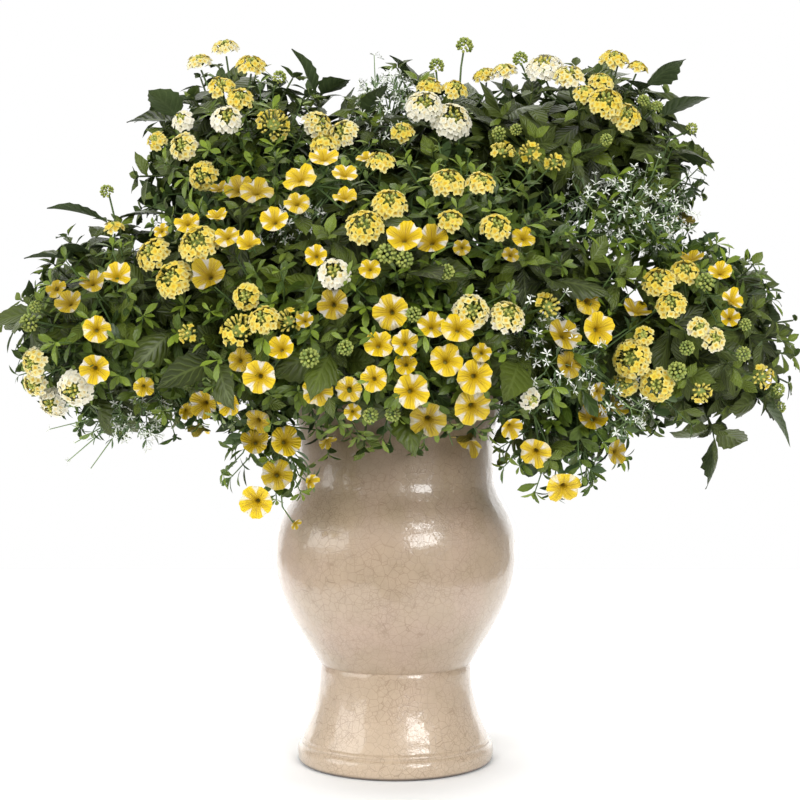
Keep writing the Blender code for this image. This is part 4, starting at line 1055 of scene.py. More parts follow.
@dataclass(frozen=True)
class FloorFinish:
    """A pale floor that glows a little, with a painted shadow where it glows less close round the urn; to the glaze it
    shows dark in front of the urn, a painted shade, and beyond a white sheet at the sides.
    """

    name: str = "studio sweep"
    glow: float = 0.66
    shaded: float = 0.02
    shade: tuple[float, float] = (0.110, 0.290)
    front: float = 0.19
    sides: float = 0.50

    def build(self, groups: Groups) -> Material:
        """Make the material."""
        material, wiring, shader = new_material(self.name, 0.9)
        x, y, _ = wiring.parts(wiring.place())
        # To glossy rays the floor turns dark in front of the urn, a painted shade of the planting over the floor, and
        # at the sides beyond a white sheet round the urn.
        mirrored = wiring.math("MINIMUM", abs(x) + (y * 0.75 + self.front), (y * 0.60 + self.sides) - abs(x))
        dim = wiring.ray("Glossy") * (1.0 - wiring.fade(mirrored, -0.03, 0.02) * 0.82)
        shade = wiring.use(groups.mottle, coarse=3.0, fine=18.0, low=0.985, high=1.0)["Shade"]
        paper = wiring.mix(shade, (0.90, 0.90, 0.90), (0.93, 0.93, 0.93))
        around = wiring.take("VectorMath", "Value", {0: wiring.place()}, operation="LENGTH")
        # painted shadow: the floor glows less close round the urn
        glow = wiring.fade(around, *self.shade, self.shaded, self.glow)
        wiring.fill(shader, {"Base Color": wiring.mix(dim, paper, (0.20, 0.18, 0.15)),
                             "Emission Color": (1.0, 1.0, 1.0), "Emission Strength": glow * (1.0 - dim)})
        return material


@dataclass(frozen=True)
class BackdropFinish:
    """A white backdrop that glows, and that counts for more where it is sampled as a lamp."""

    name: str = "studio backdrop"
    lamp: float = 1.1
    glow: float = 0.5

    def build(self, groups: Groups) -> Material:
        """Make the material."""
        material, wiring, shader = new_material(self.name, 0.9)
        shade = wiring.use(groups.mottle, coarse=2.0, fine=9.0, low=0.97, high=1.0)["Shade"]
        colour = wiring.mix(shade, (0.9, 0.9, 0.9), (1.0, 1.0, 1.0))
        met = wiring.ray("Glossy") + wiring.ray("Diffuse")
        wiring.fill(shader, {"Base Color": colour, "Emission Color": colour,
                             "Emission Strength": self.lamp - met * (self.lamp - self.glow)})
        return material


@dataclass(frozen=True)
class GlazeFinish:
    """A glossy beige glaze with nets of fine brown cracks; painted shade darkens it towards the neck, painted light
    lightens it towards the foot and a painted contact shadow darkens its bottom edge.
    """

    name: str = "crackle glaze"
    sand: Triple = (0.400, 0.302, 0.208)
    blush: Triple = (0.440, 0.325, 0.240)
    stain: Triple = (0.330, 0.255, 0.160)
    shadow: Triple = (0.160, 0.106, 0.038)
    pale: Triple = (0.560, 0.435, 0.310)
    crack: Triple = (0.165, 0.092, 0.044)
    painted_contact_shade: Triple = (0.090, 0.060, 0.040)
    nets: tuple[tuple[float, float], ...] = ((132.0, 0.036), (195.0, 0.048), (310.0, 0.060))

    def cracks(self, wiring: Wiring, cells: float, width: float) -> Signal:
        """A net of cracks, 1 on a crack.

        Args:
            wiring: The material's wiring.
            cells: How many cells a metre holds.
            width: The width of a crack, in cells.

        Returns:
            The mask.
        """
        place = wiring.place()
        warp = wiring.take("TexNoise", "Color", {"Vector": place, "Scale": cells * 0.45})
        bent = wiring.take("VectorMath", 0, {0: warp, 1: (0.05 / cells,) * 3, 2: place}, operation="MULTIPLY_ADD")
        edge = wiring.take("TexVoronoi", "Distance", {"Vector": bent, "Scale": cells}, feature="DISTANCE_TO_EDGE")
        return wiring.fade(edge, width * 0.35, width, 1.0, 0.0)

    def build(self, groups: Groups) -> Material:
        """Make the material."""
        material, wiring, shader = new_material(self.name, 0.32)
        large, middle, small = (self.cracks(wiring, cells, width) for cells, width in self.nets)
        broken = wiring.fade(wiring.noise(65.0), 0.40, 0.60, 0.15, 0.90)
        patchy = wiring.fade(wiring.noise(28.0), 0.42, 0.68, 0.05, 0.70)
        net = wiring.largest(large, middle * broken, small * patchy)
        height = wiring.parts(wiring.place())[2]
        colour = self.sand
        for mask, layer in (
                (wiring.fade(wiring.noise(14.0), 0.38, 0.66), self.blush),
                (wiring.fade(wiring.noise(33.0, 4.0), 0.50, 0.78, 0.0, 0.45), self.stain),
                # painted shade: the glaze darkens towards the neck, under the planting
                (wiring.fade(height, 0.245, 0.335, 0.0, 0.60), self.shadow),
                # painted light: the glaze turns lighter towards the foot
                (wiring.fade(height, 0.120, 0.020, 0.0, 0.90), self.pale),
                (net * wiring.fade(wiring.noise(22.0, 3.0), 0.32, 0.68, 0.24, 0.50), self.crack),
                # painted contact shadow: a thin dark line along the foot's bottom edge
                (wiring.fade(height, 0.0040, 0.0012), self.painted_contact_shade)):
            colour = wiring.mix(mask, colour, layer)
        waviness = wiring.noise(85.0, 3.0) * 0.50 + wiring.noise(22.0)
        normal = wiring.bump(waviness - net * 0.05, 0.35, 0.0035)
        wiring.fill(shader, {
            "Base Color": wiring.mottled(colour, groups.mottle, coarse=70.0, fine=900.0, low=0.94, high=1.05),
            "Normal": normal, "Coat Normal": normal, "Coat Weight": 1.0, "Coat Roughness": 0.035, "Coat IOR": 1.55})
        return material


FINISHES = (
    GlazeFinish(),
    PlainFinish("potting soil", (0.060, 0.040, 0.027), (0.016, 0.010, 0.007), 0.95, 140.0, 0.003),
    LeafFinish("lantana leaf", old=(0.024, 0.034, 0.006), mature=(0.074, 0.102, 0.010), young=(0.200, 0.275, 0.024),
               vein=(0.125, 0.165, 0.034), roughness=0.44, vein_count=7.0, vein_strength=0.50, relief=0.80),
    LeafFinish("lantana leaf underside", old=(0.062, 0.095, 0.034), mature=(0.095, 0.140, 0.050),
               young=(0.180, 0.270, 0.060), vein=(0.150, 0.200, 0.080), roughness=0.65, vein_count=7.0,
               vein_strength=0.5, relief=0.5),
    StemFinish("lantana stem", (0.090, 0.150, 0.040), (0.090, 0.065, 0.035)),
    FloretFinish("lantana floret", eye=(0.690, 0.430, 0.010), fresh=(0.745, 0.595, 0.070),
                 cream=(0.790, 0.705, 0.270), faded=(0.830, 0.800, 0.660)),
    PlainFinish("lantana tube", (0.740, 0.610, 0.130), (0.520, 0.470, 0.085), 0.55),
    PlainFinish("lantana bud", (0.520, 0.540, 0.120), (0.130, 0.220, 0.045), 0.50),
    LeafFinish("calibrachoa leaf", old=(0.026, 0.054, 0.006), mature=(0.085, 0.132, 0.008),
               young=(0.230, 0.320, 0.022), vein=(0.160, 0.240, 0.050), roughness=0.42, vein_count=3.0,
               vein_strength=0.25, relief=0.3),
    LeafFinish("calibrachoa leaf underside", old=(0.080, 0.140, 0.050), mature=(0.110, 0.180, 0.060),
               young=(0.210, 0.320, 0.090), vein=(0.150, 0.230, 0.090), roughness=0.6, vein_count=3.0,
               vein_strength=0.3, relief=0.2),
    StemFinish("calibrachoa stem", (0.110, 0.190, 0.050), (0.080, 0.120, 0.040)),
    PetalFinish("calibrachoa petal", gold=(0.790, 0.560, 0.004), funnel_shade=(0.580, 0.385, 0.003),
                white=(0.800, 0.745, 0.600), rib=(0.380, 0.200, 0.008), throat=(0.160, 0.085, 0.010)),
    PetalFinish("calibrachoa petal back", gold=(0.800, 0.600, 0.100), funnel_shade=(0.620, 0.470, 0.090),
                white=(0.860, 0.800, 0.620), rib=(0.420, 0.320, 0.060), throat=(0.350, 0.330, 0.070), depth=0.6),
    PlainFinish("euphorbia bract", (0.900, 0.910, 0.860), (0.760, 0.800, 0.700), 0.55),
    PlainFinish("euphorbia leaf", (0.190, 0.270, 0.130), (0.080, 0.140, 0.060), 0.6),
    StemFinish("euphorbia stem", (0.200, 0.300, 0.110), (0.120, 0.190, 0.070)),
    FloorFinish(),
    BackdropFinish(),
)


def build_palette() -> Palette:
    """Build every finish once, by its name."""
    groups = Groups()
    return {finish.name: finish.build(groups) for finish in FINISHES}


class Patterns:
    """The small shapes that the planting repeats."""

    PLAIN = {"steps": 4, "across": 2}
    LARGE = {"steps": 13, "across": 4, "tooth": 0.07}
    LANTANA = BladeForm(steps=7, across=4, stalk=0.12, half_width=0.285, swell=0.78, taper=1.15, tooth=0.05)
    LANTANA_MOODS = (
        dict(fold=0.16, droop=0.30),
        dict(fold=0.34, droop=0.18, wave=0.020, twist=0.10),
        dict(fold=0.10, droop=0.42, wave=0.025, twist=-0.16, curl=0.5),
        dict(fold=0.45, droop=0.26, wave=-0.018, twist=0.20, half_width=0.260),
        dict(fold=0.22, droop=0.50, wave=0.030, twist=-0.05, half_width=0.300, curl=0.8),
    )
    CALIBRACHOA = BladeForm(steps=5, across=2, stalk=0.10, half_width=0.195, swell=1.10, taper=0.70)
    CALIBRACHOA_MOODS = (
        dict(fold=0.16, droop=0.30),
        dict(fold=0.35, droop=0.12, twist=0.15),
        dict(fold=0.25, droop=0.45, twist=-0.20, half_width=0.170),
    )

    # How far a bloom's face is cupped, how strongly its rim waves and how far it is bent.
    TRUMPETS = ((0.02, 0.08, 0.04), (0.12, 0.10, -0.10), (-0.08, 0.13, 0.12), (0.24, 0.09, 0.08), (0.0, 0.17, -0.18),
                (0.16, 0.12, 0.26), (-0.14, 0.10, -0.06))

    def __init__(self) -> None:
        """Make them."""
        self.lantana_leaves = [self.variant(self.LANTANA, mood) for mood in self.LANTANA_MOODS]
        self.lantana_plain = [self.variant(self.LANTANA, mood | self.PLAIN) for mood in self.LANTANA_MOODS]
        self.lantana_large = [self.variant(self.LANTANA, mood | self.LARGE) for mood in self.LANTANA_MOODS[:3]]
        self.calibrachoa_leaves = [self.variant(self.CALIBRACHOA, mood) for mood in self.CALIBRACHOA_MOODS]
        self.euphorbia_leaf = blade(BladeForm(4, 2, 0.08, 0.120, 0.9, 0.9, fold=0.3, droop=0.2))
        self.bracts = [self.bract_star(random.Random(number)) for number in range(3)]
        self.twig = rod(3, 1)
        self.stalk = rod(5, 3)
        self.stem = rod(7, 7)
        self.floret = self.make_floret()
        self.club = Pattern(turned([(0.0, 0.0), (0.30, 0.55), (0.62, 0.86), (0.45, 1.0), (0.0, 1.05)], 6))
        self.bud = Pattern(turned([(0.0, -1.0), (0.85, -0.45), (1.0, 0.25), (0.55, 0.85), (0.0, 1.0)], 6))
        self.trumpets = [self.make_trumpet(*shape) for shape in self.TRUMPETS]
        self.calyx = self.make_calyx()

    @staticmethod
    def variant(form: BladeForm, mood: dict[str, float]) -> Pattern:
        """A leaf of a form with some of its values changed."""
        return blade(BladeForm(**{**form.__dict__, **mood}))

    @staticmethod
    def bract_star(draw: random.Random) -> Pattern:
        """A loose star of narrow white bracts of radius 1, which looks to Z.

        Args:
            draw: What draws the bracts' turns.

        Returns:
            The pattern.
        """
        bract = blade(BladeForm(3, 2, 0.20, 0.150, 1.0, 0.8, fold=0.2, droop=0.25, stalk_width=0.03,
                                thickness=0.05))
        star = bmesh.new()
        layer = star.verts.layers.float_vector.new(Pattern.MAP)
        for index in range(5):
            turn = 2 * math.pi * (index + draw.uniform(-0.25, 0.25)) / 5
            lift = draw.uniform(0.15, 0.85)
            way = Vector((math.cos(turn) * math.cos(lift), math.sin(turn) * math.cos(lift), math.sin(lift)))
            placing = axes(Vector(), way, UP, (draw.uniform(0.75, 1.05),) * 3)
            verts = [star.verts.new(placing @ Vector(point)) for point in bract.points]
            for vert, chart in zip(verts, bract.maps):
                vert[layer] = (chart[0], chart[1], 0.0)
            start = 0
            for size in bract.sizes:
                star.faces.new([verts[corner] for corner in bract.corners[start:start + size]])
                start += size
        return Pattern(star)

    @staticmethod
    def make_floret() -> Pattern:
        """A lantana floret of radius 1 and height 1: a slim tube and four round lobes with an eye.

        Returns:
            The pattern. The tube has finish 1.
        """
        surface = turned([(0.0, 0.0), (0.17, 0.80), (1.0, 0.97), (0.0, 0.90)], 12)
        for vert in surface.verts:
            reach = vert.co.xy.length
            if reach > 0.9:
                step = round(math.atan2(vert.co.y, vert.co.x) / (math.pi / 6)) % 3
                vert.co.xy *= 0.70 if step == 0 else 1.0
                vert.co.z += 0.0 if step == 0 else 0.03
        for face in surface.faces:
            centre = face.calc_center_median()
            face.material_index = 1 if centre.z < 0.6 else 0
        return Pattern(surface)

    @staticmethod
    def make_trumpet(cup: float, ruffle: float, bend: float) -> Pattern:
        """A calibrachoa bloom of radius 1 whose rim is at height 0.

        Args:
            cup: How far its face is raised towards the rim.
            ruffle: How strongly the rim waves.
            bend: How far two opposite sides of the face are raised over the other two.

        Returns:
            The pattern. The outside has finish 1.
        """
        outside = [(0.0, -0.86), (0.09, -0.84), (0.13, -0.62), (0.22, -0.34), (0.45, -0.15), (0.78, -0.045),
                   (1.0, 0.0)]
        inside = [(0.97, 0.02), (0.74, 0.0), (0.48, -0.055), (0.28, -0.15), (0.17, -0.30), (0.08, -0.52),
                  (0.0, -0.56)]
        surface = turned(outside + inside, 30)
        for vert in surface.verts:
            reach = vert.co.xy.length
            angle = math.atan2(vert.co.y, vert.co.x)
            outer = max(0.0, (reach - 0.35) / 0.65)
            lobe = 1 - 0.13 * outer * (1 - abs(math.cos(2.5 * angle))) - 0.05 * outer ** 3 * max(
                0.0, math.cos(5 * angle)) ** 6
            vert.co.xy *= lobe
            wave = math.cos(5 * angle) + 0.5 * math.sin(3 * angle + 1.0)
            pleat = 0.045 * math.cos(10 * angle) * min(1.0, 2 * outer)
            vert.co.z += outer ** 2 * (ruffle * wave + bend * math.cos(2 * angle + 0.4) + cup) - pleat
        bmesh.ops.recalc_face_normals(surface, faces=surface.faces)
        for face in surface.faces:
            centre = face.calc_center_median()
            face.material_index = 1 if face.normal.dot(Vector((centre.x, centre.y, -0.4 - centre.z))) > 0 else 0
        return Pattern(surface)

    @staticmethod
    def make_calyx() -> Pattern:
        """Five narrow sepals round the foot of a bloom of radius 1."""
        surface = turned([(0.0, -0.95), (0.14, -0.86), (0.36, -0.42), (0.11, -0.60), (0.0, -0.70)], 10)
        for vert in surface.verts:
            if vert.co.xy.length > 0.3:
                step = round(math.atan2(vert.co.y, vert.co.x) / (math.pi / 5)) % 2
                vert.co.xy *= 1.0 if step else 0.40
                vert.co.z += 0.0 if step else -0.14
        return Pattern(surface)


@dataclass(frozen=True)
class UrnForm:
    """The urn's outline as (radius, height) where its curve changes."""

    foot: float = 0.0970
    foot_top: tuple[float, float] = (0.0915, 0.0250)
    waist: tuple[float, float] = (0.0755, 0.0900)
    groove: tuple[float, float] = (0.0748, 0.0965)
    belly_foot: tuple[float, float] = (0.0772, 0.1000)
    belly: tuple[float, float] = (0.1210, 0.2070)
    neck: tuple[float, float] = (0.0990, 0.2800)
    neck_top: tuple[float, float] = (0.0985, 0.3050)
    lip: tuple[float, float] = (0.1125, 0.3690)
    wall: float = 0.008
    roll: float = 0.004
    floor: float = 0.016
    shoulder: float = 1.35

    def band(self) -> list[tuple[float, float]]:
        """The foot: a round-edged band with two fine grooves over it."""
        low = [(self.foot - 0.0045 + 0.0045 * math.sin(turn), 0.0045 - 0.0045 * math.cos(turn))
               for turn in (0.0, 0.5, 1.0, 1.57)]
        return low + [(self.foot + 0.0004, 0.010), (self.foot - 0.0002, 0.0145), (self.foot - 0.0018, 0.0172),
                      (self.foot - 0.0034, 0.0184), (self.foot - 0.0036, 0.0196), (self.foot - 0.0030, 0.0207),
                      (self.foot - 0.0036, 0.0222), (self.foot - 0.0052, 0.0234)]

    def outside(self, steps: int = 14) -> list[tuple[float, float]]:
        """The outline from the foot to the lip.

        Args:
            steps: The number of steps in each long curve.

        Returns:
            The points, upwards.
        """
        shares = [step / steps for step in range(1, steps + 1)]
        points = self.band() + [self.foot_top]
        points += [(self.waist[0] + (self.foot_top[0] - self.waist[0]) * (1 - t) ** 2,
                    self.foot_top[1] + (self.waist[1] - self.foot_top[1]) * t) for t in shares]
        points += [(self.groove[0] + 0.0006, 0.0945), (self.groove[0] - 0.0003, 0.0958), self.groove,
                   (self.belly_foot[0] - 0.0007, 0.0978), (self.belly_foot[0], 0.0986)]
        points += [(self.belly_foot[0] + (self.belly[0] - self.belly_foot[0]) * math.sin(t * math.pi / 2),
                    self.belly_foot[1] + (self.belly[1] - self.belly_foot[1]) * t) for t in shares]
        points += [(self.belly[0] + (self.neck[0] - self.belly[0]) * (1 - math.cos(math.pi * t ** self.shoulder)) / 2,
                    self.belly[1] + (self.neck[1] - self.belly[1]) * t) for t in shares]
        points += [self.neck_top]
        points += [(self.neck_top[0] + (self.lip[0] - self.neck_top[0]) * t * t,
                    self.neck_top[1] + (self.lip[1] - self.roll - self.neck_top[1]) * t) for t in shares[1::2]]
        return points

    def radius_at(self, height: float) -> float:
        """The urn's outer radius at a height, or 0 over the lip."""
        points = self.outside(6)
        for (low_radius, low), (high_radius, high) in zip(points, points[1:]):
            if low <= height <= high and high > low:
                return low_radius + (high_radius - low_radius) * (height - low) / (high - low)
        return 0.0 if height > self.lip[1] + self.roll else self.lip[0]

    def whole(self) -> list[tuple[float, float]]:
        """The closed outline, over the rolled lip and down the inside."""
        centre = self.lip[0] - self.wall / 2
        lip = [(centre + (self.wall / 2) * math.cos(turn), self.lip[1] + self.roll * math.sin(turn))
               for turn in [math.pi * step / 8 for step in range(9)]]
        inside = [(radius - self.wall, height) for radius, height in reversed(self.outside(8))
                  if self.floor + 0.03 < height < self.lip[1] - 0.01]
        inside = [point for index, point in enumerate(inside) if index % 2 == 0]
        return [(0.0, 0.0)] + self.outside() + lip + inside + [(inside[-1][0] - 0.002, self.floor + 0.004),
                                                                (inside[-1][0] - 0.010, self.floor), (0.0, self.floor)]


@dataclass
class Urn:
    """The glazed urn and the soil in it."""

    palette: Palette
    form: UrnForm = field(default_factory=UrnForm)
    steps: int = 96

    def build(self) -> Piece:
        """Turn the urn and dress the soil.

        Returns:
            The new piece.
        """
        growth = Growth()
        growth.stamp(Pattern(turned(self.form.whole(), self.steps)), Matrix.Identity(4))
        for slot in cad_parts["soil"].material_slots:
            slot.material = self.palette["potting soil"]
        return growth.piece("glazed_urn", "urn", "glaze", [self.palette["crackle glaze"]], crease=40.0)


class Clearing:
    """The room that belongs to the flowers and the urn, which leaves keep out of."""

    # Lengths in metres, but for BEHIND, which is in a flower's radii.
    BOX_MARGIN = 0.006
    LOWEST = 0.20
    URN_TOP = 0.378
    URN_GAP = 0.004
    AHEAD = 0.050
    SIGHT = 0.400
    BEHIND = 0.15

    def __init__(self, flowers: Sequence[Flower], urn: UrnForm) -> None:
        """Keep the room.

        Args:
            flowers: Every flower.
            urn: The urn's outline.
        """
        self.urn = urn
        self.places = np.array([flower.place[:] for flower in flowers])
        self.facings = np.array([flower.facing[:] for flower in flowers])
        self.radii = np.array([flower.radius for flower in flowers])
        to_eye = np.array(EYE[:]) - self.places
        self.to_eye = to_eye / np.linalg.norm(to_eye, axis=1)[:, None]
        self.seen = (self.facings * self.to_eye).sum(axis=1) > 0.1
        low, high = CAD_BOX
        self.low = np.array(low[:]) - self.BOX_MARGIN
        self.high = np.array(high[:]) + self.BOX_MARGIN
        self.low[2] = self.LOWEST

    def is_open(self, points: Iterable[Vector], share: float = 1.0) -> bool:
        """Tell whether points keep out of the flowers' room, the urn and the box's outside.

        Args:
            points: The points to test.
            share: How much of each flower's room counts.

        Returns:
            True where all of them do.
        """
        for point in points:
            place = np.array(point[:])
            if (place < self.low).any() or (place > self.high).any():
                return False
            if point.z < self.URN_TOP and point.xy.length < self.urn.radius_at(point.z) + self.URN_GAP:
                return False
            offset = place - self.places
            for axis, reach, which in ((self.facings, self.AHEAD, True), (self.to_eye, self.SIGHT, self.seen)):
                along = (offset * axis).sum(axis=1)
                aside = np.sqrt(np.maximum(0.0, (offset * offset).sum(axis=1) - along * along))
                inside = (along > -self.BEHIND * self.radii) & (along < reach) & (aside < share * self.radii)
                if (inside & which).any():
                    return False
        return True


@dataclass(frozen=True)
class ShootForm:
    """How a plant's shoots are built, in metres."""

    leaf: float
    gap: float
    start: float
    radius: float
    tip_scale: float
    spacing: float
    reach: float
    sink: tuple[float, float]
    lean: float
    share: float


@dataclass(frozen=True)
class Shoot:
    """A shoot: the four points that steer its curve."""

    stand: Stand
    route: tuple[Vector, Vector, Vector, Vector]
    normal: Vector
    form: ShootForm

    def at(self, t: float) -> Vector:
        """The point at a share of the curve."""
        one, two, three, four = self.route
        s = 1 - t
        return one * s ** 3 + two * (3 * t * s * s) + three * (3 * t * t * s) + four * t ** 3

    def heading(self, t: float) -> Vector:
        """The direction of growth at a share of the curve."""
        return (self.at(min(1.0, t + 0.02)) - self.at(max(0.0, t - 0.02))).normalized()

    def length(self) -> float:
        """The length of the curve."""
        points = [self.at(step / 10) for step in range(11)]
        return sum((two - one).length for one, two in zip(points, points[1:]))


LANTANA_SHOOTS = ShootForm(leaf=0.047, gap=0.019, start=0.30, radius=0.0013, tip_scale=0.38, spacing=0.036,
                           reach=0.180, sink=(-0.002, 0.030), lean=0.55, share=0.86)
LANTANA_INNER = ShootForm(leaf=0.052, gap=0.020, start=0.25, radius=0.0013, tip_scale=0.60, spacing=0.031,
                          reach=0.140, sink=(0.035, 0.085), lean=0.40, share=0.90)
CALIBRACHOA_SHOOTS = ShootForm(leaf=0.0240, gap=0.0068, start=0.35, radius=0.0008, tip_scale=0.62, spacing=0.025,
                               reach=0.120, sink=(-0.004, 0.018), lean=0.75, share=0.72)


class Layout:
    """Where every shoot ends, worked out once for the whole planting so that they share the room."""

    # Lengths in metres, but for SWAY, which is how far a direction of length 1 may turn aside.
    TRIES = 420
    SWAY = 0.05
    OWN_MARGIN = 0.012
    CROWDED = 0.030
    URN_TOP = 0.385
    URN_GAP = 0.012

    def __init__(self, clearing: Clearing) -> None:
        """Lay out the shoots.

        Args:
            clearing: The room that they keep out of.
        """
        self.clearing = clearing
        self.shoots: dict[str, list[Shoot]] = {stand.name: [] for stand in STANDS}
        self.lay(Kind.CALIBRACHOA, CALIBRACHOA_SHOOTS, 1.0)
        self.lay(Kind.LANTANA, LANTANA_SHOOTS, 1.6)
        self.lay(Kind.LANTANA, LANTANA_INNER, 1.0)

    def lay(self, kind: Kind, form: ShootForm, crowding: float) -> None:
        """Lay out one kind's shoots.

        Args:
            kind: The kind of plant.
            form: How its shoots are built.
            crowding: How much further apart they end among the other kind's shoots.
        """
        draw = random.Random(f"shoots {kind.value} {form.leaf}")
        laid = [shoot for shoots in self.shoots.values() for shoot in shoots]
        tips = [shoot.route[3] for shoot in laid if shoot.stand.kind is kind]
        others = [shoot.route[3] for shoot in laid if shoot.stand.kind is not kind]
        stands = [stand for stand in STANDS if stand.kind is kind]
        for stand in stands:
            for direction in spread(self.TRIES, UP, math.pi):
                way = (direction + Vector([draw.uniform(-self.SWAY, self.SWAY) for _ in range(3)])).normalized()
                place, normal = canopy_exit(stand.heart, way)
                tip = place - normal * draw.uniform(*form.sink)
                far = (tip - stand.heart).length
                if far > form.reach or any((tip - other.heart).length < far - self.OWN_MARGIN for other in stands):
                    continue
                crowded = any((tip - other).length < self.CROWDED for other in others)
                spacing = form.spacing * (crowding if crowded else 1.0)
                if any((tip - other).length < spacing for other in tips):
                    continue
                if tip.z < self.URN_TOP and tip.xy.length < self.clearing.urn.radius_at(tip.z) + self.URN_GAP:
                    continue
                tips.append(tip)
                self.shoots[stand.name].append(self.shoot(stand, tip, normal, form))

    def shoot(self, stand: Stand, tip: Vector, normal: Vector, form: ShootForm) -> Shoot:
        """A shoot that arches from the middle of a bush to its tip."""
        way = tip - stand.heart
        leave = stand.heart + way * 0.35 + UP * way.length * 0.16
        arrive = tip - (normal * form.lean + way.normalized() * 0.5 + UP * 0.15).normalized() * way.length * 0.33
        return Shoot(stand, (stand.heart, leave, arrive, tip), normal, form)


@dataclass
class LeafyBush:
    """One plant's stem, shoots and leaves, in place of its solid."""

    stand: Stand
    shoots: Sequence[Shoot]
    form: ShootForm
    leaves: Sequence[Pattern]
    plain: Sequence[Pattern]
    kept: Sequence[Pattern]
    patterns: Patterns
    clearing: Clearing
    knots: Sequence[Vector]
    pair: bool
    growth: Growth = field(default_factory=Growth)

    # The depths are in radii of the mounds, and SHORTER is what a cramped leaf keeps of its length.
    STEM_FINISH = 2
    PLAIN_DEPTH = 0.87
    CANOPY_REACH = 1.13
    SHORTER = 0.72

    def build(self, palette: Palette) -> Piece:
        """Grow the bush.

        Args:
            palette: The finishes.

        Returns:
            The new piece.
        """
        self.draw = random.Random(f"bush {self.stand.name}")
        solid = Solid(self.stand.node)
        self.grow_stem(solid.lowest())
        for knot in self.knots:
            self.grow_branch(knot)
        for leaf in solid.leaves():
            self.keep_leaf(leaf)
        for shoot in self.shoots:
            self.grow_shoot(shoot)
        plant = self.stand.kind.value
        return self.growth.piece(f"{self.stand.node}_foliage", self.stand.node, f"{plant}_leaf",
                                 [palette[f"{plant} {part}"] for part in ("leaf", "leaf underside", "stem")])

    def grow_stem(self, foot: Vector) -> None:
        """The main stem, from its hole in the soil to the middle of the bush."""
        thick = 0.0022 if self.pair else 0.0016
        self.growth.thread(self.patterns.stem, stem_route(foot, self.stand.heart), (thick * 1.3, thick), 0.5,
                           0.1, self.STEM_FINISH)

    def grow_branch(self, knot: Vector) -> None:
        """A branch to the knot that a truss of flowers spreads from, with leaves along it."""
        heart = self.stand.heart
        way = knot - heart
        route = (heart, heart + way * 0.35 + UP * 0.006, knot - way * 0.3 + UP * 0.004, knot)
        self.growth.thread(self.patterns.stalk, route, (0.0017, 0.0014), 0.5, 0.6, self.STEM_FINISH)
        self.dress(Shoot(self.stand, route, way.normalized(), self.form), 0.45, 0.95, 0.9, 0.3)

    def keep_leaf(self, leaf: Leaf) -> None:
        """A leaf where the solid has one, on a stalk from the middle of the bush."""
        heart = self.stand.heart
        matrix = axes(leaf.foot, leaf.along, leaf.top, (leaf.length,) * 3)
        self.growth.stamp(self.kept[self.draw.randrange(len(self.kept))], matrix, self.draw.random(),
                          self.draw.uniform(0.0, 0.4))
        way = leaf.foot - heart
        route = (heart, heart + way * 0.4 + UP * 0.004, leaf.foot - leaf.along * 0.006, leaf.foot)
        self.growth.thread(self.patterns.stalk, route, (0.0012, 0.0008), 0.5, 0.6, self.STEM_FINISH)
        if way.length > 2 * self.form.leaf:
            self.dress(Shoot(self.stand, route, way.normalized(), self.form), 0.35, 0.97, 0.8, 0.5)

    def grow_shoot(self, shoot: Shoot) -> None:
        """A shoot with its leaves and the tuft of young ones at its tip."""
        form = shoot.form
        self.growth.thread(self.patterns.stalk, shoot.route, (form.radius * 1.3, form.radius * 0.7), 0.5, 0.7,
                           self.STEM_FINISH)
        self.dress(shoot, form.start, 1.0, 1.0, 0.75)
        heading = shoot.heading(1.0)
        for index in range(self.draw.randint(3, 4 if self.pair else 5)):
            turn = index * (math.pi / 2 if self.pair else GOLDEN_ANGLE) + self.draw.uniform(-0.5, 0.5)
            along = (heading * self.draw.uniform(0.3, 1.6) + sideways(heading, turn)).normalized()
            length = form.leaf * form.tip_scale * self.draw.uniform(0.5, 1.15)
            self.try_leaf(shoot.at(1.0), along, heading + UP * 0.3, length, 0.70)

    def dress(self, shoot: Shoot, start: float, end: float, share: float, youth: float) -> None:
        """Put leaves along a shoot: in crossed pairs, or singly round it.

        Args:
            shoot: The shoot.
            start: Where the leaves start, as a share of its curve.
            end: Where they end.
            share: The length of its largest leaves, as a share of the form's.
            youth: How young the last of them is.
        """
        form = shoot.form
        count = max(1, round((end - start) * shoot.length() / form.gap))
        turn = self.draw.uniform(0, math.pi)
        for index in range(count):
            t = start + (end - start) * (index + self.draw.uniform(0.1, 0.7)) / count
            late = (t - start) / (end - start)
            size = form.leaf * share * (1 - (1 - form.tip_scale) * late ** 2.2) * self.draw.uniform(0.72, 1.20)
            heading = shoot.heading(t)
            turn += math.pi / 2 if self.pair else GOLDEN_ANGLE
            for half in range(2 if self.pair else 1):
                angle = turn + math.pi * half + self.draw.uniform(-0.4, 0.4)
                along = heading * (0.35 + 0.3 * late) + sideways(heading, angle) - UP * self.draw.uniform(0.0, 0.25)
                top = heading * 0.6 + UP * 0.7 + shoot.normal * 0.35
                self.try_leaf(shoot.at(t), along.normalized(), top, size, youth * late ** 2)

    def try_leaf(self, foot: Vector, along: Vector, top: Vector, length: float, age: float) -> None:
        """Add a leaf where it keeps out of the flowers' room, else a shorter one, else none."""
        for scale in (1.0, self.SHORTER):
            size = length * scale
            drop = top.normalized() * size * 0.25
            points = [foot + along * size * 0.45, foot + along * size * 0.75 - drop * 0.5, foot + along * size - drop]
            if canopy_depth(points[2]) > self.CANOPY_REACH:
                continue
            if self.clearing.is_open(points, self.form.share):
                choice = self.plain if canopy_depth(foot) < self.PLAIN_DEPTH else self.leaves
                pattern = choice[self.draw.randrange(len(choice))]
                matrix = axes(foot, along, top, (size, size * self.draw.uniform(0.9, 1.1), size))
                self.growth.stamp(pattern, matrix, self.draw.random(), min(1.0, age * self.draw.uniform(0.7, 1.15)))
                return


